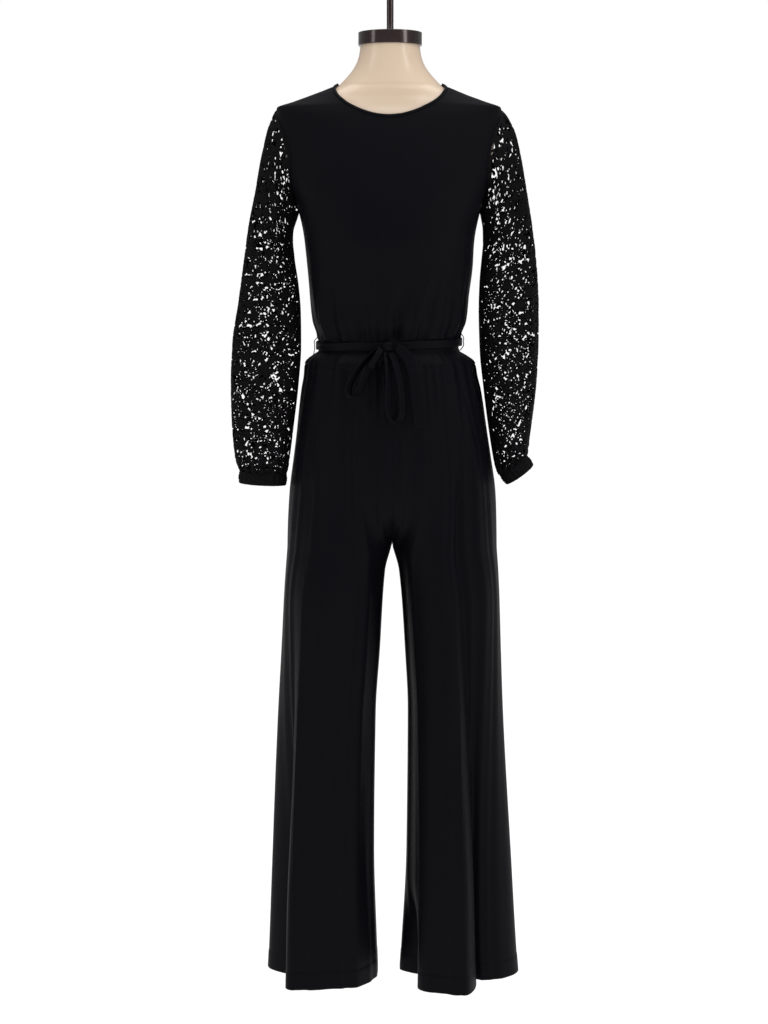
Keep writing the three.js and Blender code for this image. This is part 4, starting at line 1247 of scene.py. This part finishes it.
def cuff(side):
    word = "left" if side > 0 else "right"
    turns = np.linspace(0, 360, CUFF_COLUMNS, endpoint=False)
    turns = -turns if side > 0 else turns
    rim = sleeve_point(side, turns, np.full(CUFF_COLUMNS, 12.0))
    ends = sleeve_point(side, np.array([0.0, 180.0]), np.full(2, 12.0))
    middle = ends.mean(axis=0)
    over = unit(ends[0] - ends[1])
    down = np.array([0.0, 0.0, -1.0])
    down = unit(down - over * np.dot(down, over))
    length = np.linalg.norm(rim - middle, axis=-1, keepdims=True)
    share = np.linspace(1, 0, CUFF_ROWS + 1)[:, None]
    around = np.radians(turns)[None, :]
    slip = 1.5 * np.sin(2 * around + side) + 1.1 * np.sin(5 * around)
    slip = slip + 0.5 * np.sin(3 * around + 5 * share)
    pleat = CUFF_PLEAT_HEIGHT * np.cos(CUFF_PLEATS * around + slip)
    pleat = pleat * (0.75 + 0.25 * np.sin(3 * around + 1)) * (0.7 + 0.3 * np.cos(2 * np.pi * (share - 0.5)))
    groove = CUFF_GROOVE * np.cos(np.pi * (2 * CUFF_GROOVES * share + 1))
    ease = 0.4 * np.cos(2 * np.pi * (share - 0.5))
    far = CUFF_SPREAD + (pleat + groove + ease) / length.T
    fall = CUFF_START + CUFF_LENGTH * share[..., None]
    points = middle + (rim - middle)[None] * far[..., None] + down * fall
    obj = cloth_shell(f"cuff_{word}_band", points, CUFF_WALL, closed=True)
    activate(obj)
    bevel_edges(obj, 0.7, 2, 60)
    sewn_piece(obj, f"cuff_{word}", lace)


for side in (-1, 1):
    cuff(side)

# Tie belt: a long narrow tube of the jersey, turned out, pressed and stitched at its ends. It goes
# once round the waist through two thread-sewn loops and is tied in front in a small soft bow.
BELT_WIDTH = 12.5
BELT_WALL = 2.4
BELT_OUT = 5.4
BELT_TILT = 3
BELT_COUNT = 360
STRAP_WALL = 2.2
LOOP_OUT = 3.2
LOOP_WALL = 1.4
LOOP_WIDTH = 7
LOOP_TALL = 20
KNOT_MIDDLE = (-4, -103, -572)
KNOT_SIZE = (22, 17, 18)
KNOT_SQUARE = 2.5       # 2 is an ellipse


def belt_round(turn, out):
    """Middle line of the belt, which dips a little to one side."""
    line = outline(BODY, turn, BELT + 0 * turn)
    along = unit(np.roll(line, -1, axis=0) - np.roll(line, 1, axis=0))
    outward = np.stack([along[:, 1], -along[:, 0], 0 * turn], axis=-1)
    line = line + outward * out
    line[:, 2] = BELT + BELT_TILT * np.cos(np.radians(turn))
    return line, outward


turn = np.linspace(0, 360, BELT_COUNT, endpoint=False)
belt_line, belt_out = belt_round(turn, BELT_OUT)
belt_slack = 0.5 * np.sin(np.radians(5 * turn)) + 0.3 * np.sin(np.radians(11 * turn + 40))
belt_line[:, 2] += belt_slack * np.sin(np.radians(turn / 2))
belt_along = unit(np.roll(belt_line, -1, axis=0) - np.roll(belt_line, 1, axis=0))
belt_wide = unit(np.cross(belt_out, belt_along))


def belt_crease(turn, along):
    """The tube's middle sinks between its pressed edges, most of all on the right front, where it
    lies in two strands."""
    face = np.exp(-((turn - 90) / 26) ** 2)
    right_front = smooth(0.49, 0.53, along) * (1 - smooth(0.66, 0.71, along))
    wrinkle = 0.12 * np.cos(260 * along + np.radians(2 * turn)) * (0.5 + 0.5 * np.sin(31 * along))
    return (0.22 + 0.75 * right_front) * face + wrinkle


belt = tube_mesh("belt_band_tube", belt_line, belt_wide, belt_out, BELT_WIDTH, BELT_WALL, 28, ends=False,
                 square=3.4, crease=belt_crease)
sewn_piece(belt, "belt_band", jersey)


def soft_strap(name, width, across, path, count, flat, folds, pinch):
    """Flat strap along a path. folds are (across, spread, depth) of its lengthwise creases; pinch is
    how much its start is drawn together at the knot."""
    line = smooth_path(path, count)
    wide, out = strap_frame(line, across)
    along = np.linspace(0, 1, count)
    widths = width * (1 - pinch * np.exp(-(along / 0.09) ** 2))

    def crease(turn, share):
        depth = 0.10 * np.cos(90 * share + np.radians(3 * turn)) * (0.5 + 0.5 * np.sin(23 * share))
        for place, spread, deep in folds:
            depth = depth + deep * np.exp(-((turn - place) / spread) ** 2)
        return depth

    obj = tube_mesh(name + "_strap", line, wide, out, widths, STRAP_WALL, 32, square=3.2, crease=crease)
    sewn_piece(obj, name, jersey)


BOW = [
    ("bow_loop_right", 15, (0.75, 0.65, 0.1), [
        (-15.4, -102.5, -574.4), (-27, -107, -583), (-42, -110.5, -597), (-57, -112, -616),
        (-67, -112.5, -637), (-66, -112.5, -648), (-58, -112.5, -650), (-50, -112.5, -641),
        (-43, -112.5, -622), (-35, -111, -604), (-25, -108, -594), (-12, -104, -580.5),
    ], 130, (0.015, 0.23), [(90, 16, 0.35), (270, 22, 0.3)], 0.2),
    ("bow_loop_left", 13, (0.75, 0.65, 0), [
        (-6.5, -107.3, -580.7), (-4.5, -113, -598), (-3, -116, -625), (-4, -117, -655), (-2, -117, -680),
        (5, -117, -691), (14, -117, -690), (19, -117, -680), (19, -117, -655), (15, -116, -625),
        (9, -113.5, -600), (1.5, -107.5, -582),
    ], 150, (0.013, 0.26), [(70, 18, 0.4), (268, 20, 0.25)], 0.15),
    ("bow_tail_left", 18, (1, -0.25, 0.15), [
        (9.4, -104.5, -572), (23, -110, -583), (32, -113, -597), (38, -114, -618), (41, -115, -645),
        (44, -116, -672), (49, -117, -702),
    ], 110, (0.018, 0.145), [(84, 12, 0.5), (262, 16, 0.4), (40, 9, 0.2)], 0.25),
    ("bow_tail_right", 10, (0.75, 0.3, -0.6), [
        (-14, -109.8, -574.6), (-20, -115, -584), (-27, -117, -595), (-33, -117, -605),
    ], 60, (0.010, 0.043), [(90, 14, 0.3)], 0.0),
]
for strap in BOW:
    soft_strap(*strap)


def knot_mesh():
    """The knot: one turn of the strap drawn tight over the others, with its two edges and the folds
    between them."""
    turns, heights = np.meshgrid(np.linspace(0, 2 * np.pi, 112, endpoint=False),
                                 np.linspace(-0.485, 0.485, 56) * np.pi)
    ring = np.abs(np.cos(heights)) ** (2 / KNOT_SQUARE)
    rise = np.sign(np.sin(heights)) * np.abs(np.sin(heights)) ** (2 / KNOT_SQUARE)
    corners = np.abs(np.cos(turns)) ** KNOT_SQUARE + np.abs(np.sin(turns)) ** KNOT_SQUARE
    around = corners ** (-1 / KNOT_SQUARE)
    x, y, z = around * np.cos(turns) * ring, around * np.sin(turns) * ring, rise
    lean = x - 0.30 * z
    wrap = 1 - smooth(0.34, 0.52, np.abs(lean - 0.06))
    folds = 0.055 * np.cos(17 * lean + 1.5 * z) * wrap
    sides = 0.05 * np.cos(13 * z + 3 * x) * (1 - wrap)
    far = 0.85 + 0.13 * wrap + folds * 0.5 + sides
    points = np.stack([x * far, y * far, z * far], axis=-1) * np.array(KNOT_SIZE) / 2
    return solid_of_rings("belt_knot_wrap", points + np.array(KNOT_MIDDLE))


knot = knot_mesh()
sewn_piece(knot, "belt_knot", jersey)


def belt_loop(side):
    word = "left" if side > 0 else "right"
    half = LOOP_TALL / 2
    level = BELT + BELT_TILT * side
    far = float(at(BODY, "half", BELT)) + BELT_OUT + LOOP_OUT

    def seat(height):
        ring = outline(BODY, np.array([0.0 if side > 0 else 180.0]), np.array([level + height]))
        return (ring[0, 0] + side * 1.3, 0, level + height)

    def away(height):
        return (side * far + float(at(BODY, "middle", BELT)), 0, level + height)

    line = smooth_path([seat(half + 5), away(half - 3), away(0), away(3 - half), seat(-half - 5)], 60)
    wide, out = strap_frame(line, (0, 1, 0))
    obj = tube_mesh(f"belt_loop_{word}_strip", line, wide, out, LOOP_WIDTH, LOOP_WALL, 24, square=3.4,
                    crease=lambda turn, along: 0.25 * np.exp(-((turn - 90) / 22) ** 2))
    sewn_piece(obj, f"belt_loop_{word}", jersey)


for side in (-1, 1):
    belt_loop(side)

# Studio: a pale floor under the hanging garment, a white room and soft lamps from the front.
FLOOR = -2050
ROOM_LIGHT = 0.28
deselect_all()
bpy.ops.mesh.primitive_plane_add(size=60, location=(0, 0, FLOOR * MM))
floor = bpy.context.object
bpy.ops.object.transform_apply(location=True, rotation=True, scale=True)
settle(floor, "studio_floor")


def floor_material():
    material, start = new_material("studio_floor")
    place = start.node("TexCoord", output="Object")
    cloud = start.noise(place, 1.5)
    colour = start.blend(cloud, rgb(252, 252, 252), rgb(254, 254, 254))
    finish_surface(start, {"Specular IOR Level": 0.1}, Base_Color=colour, Roughness=0.75 + 0.1 * cloud)
    return material


set_material(floor, floor_material())

world = bpy.data.worlds.new("studio")
bpy.context.scene.world = world
bpy.context.scene.view_settings.view_transform = "Standard"
world.use_nodes = True
room = world.node_tree
backdrop = room.nodes["Background"]
backdrop.inputs["Color"].default_value = (1, 1, 1, 1)
backdrop.inputs["Strength"].default_value = 1.0
fill = room.nodes.new("ShaderNodeBackground")
fill.inputs["Color"].default_value = (1, 1, 1, 1)
fill.inputs["Strength"].default_value = ROOM_LIGHT
sight = room.nodes.new("ShaderNodeLightPath")
choice = room.nodes.new("ShaderNodeMixShader")
room.links.new(sight.outputs["Is Camera Ray"], choice.inputs["Fac"])
room.links.new(fill.outputs[0], choice.inputs[1])
room.links.new(backdrop.outputs[0], choice.inputs[2])
room.links.new(choice.outputs[0], room.nodes["World Output"].inputs["Surface"])


def softbox(name, place, aim, size, power):
    lamp = bpy.data.lights.new(name, "AREA")
    lamp.shape = "RECTANGLE"
    lamp.size, lamp.size_y = size
    lamp.energy = power
    holder = bpy.data.objects.new(name, lamp)
    bpy.context.collection.objects.link(holder)
    holder.location = place
    away = mathutils.Vector(place) - mathutils.Vector(aim)
    holder.rotation_euler = away.to_track_quat("Z", "Y").to_euler()


softbox("left_lamp", (-2.4, -1.2, 0.5), (0, 0, -0.7), (0.6, 2.2), 11)
softbox("right_lamp", (2.2, -1.5, 0.4), (0, 0, -0.8), (0.6, 2.4), 20)
softbox("top_lamp", (0.2, -1.6, 1.7), (0, 0, -0.5), (1.4, 0.8), 12)
ceiling = bpy.data.lights.new("ceiling_light", "SUN")
ceiling.energy = 2.5
ceiling.angle = math.radians(70)
hung = bpy.data.objects.new("ceiling_light", ceiling)
bpy.context.collection.objects.link(hung)
hung.location = (0, 0, 3)
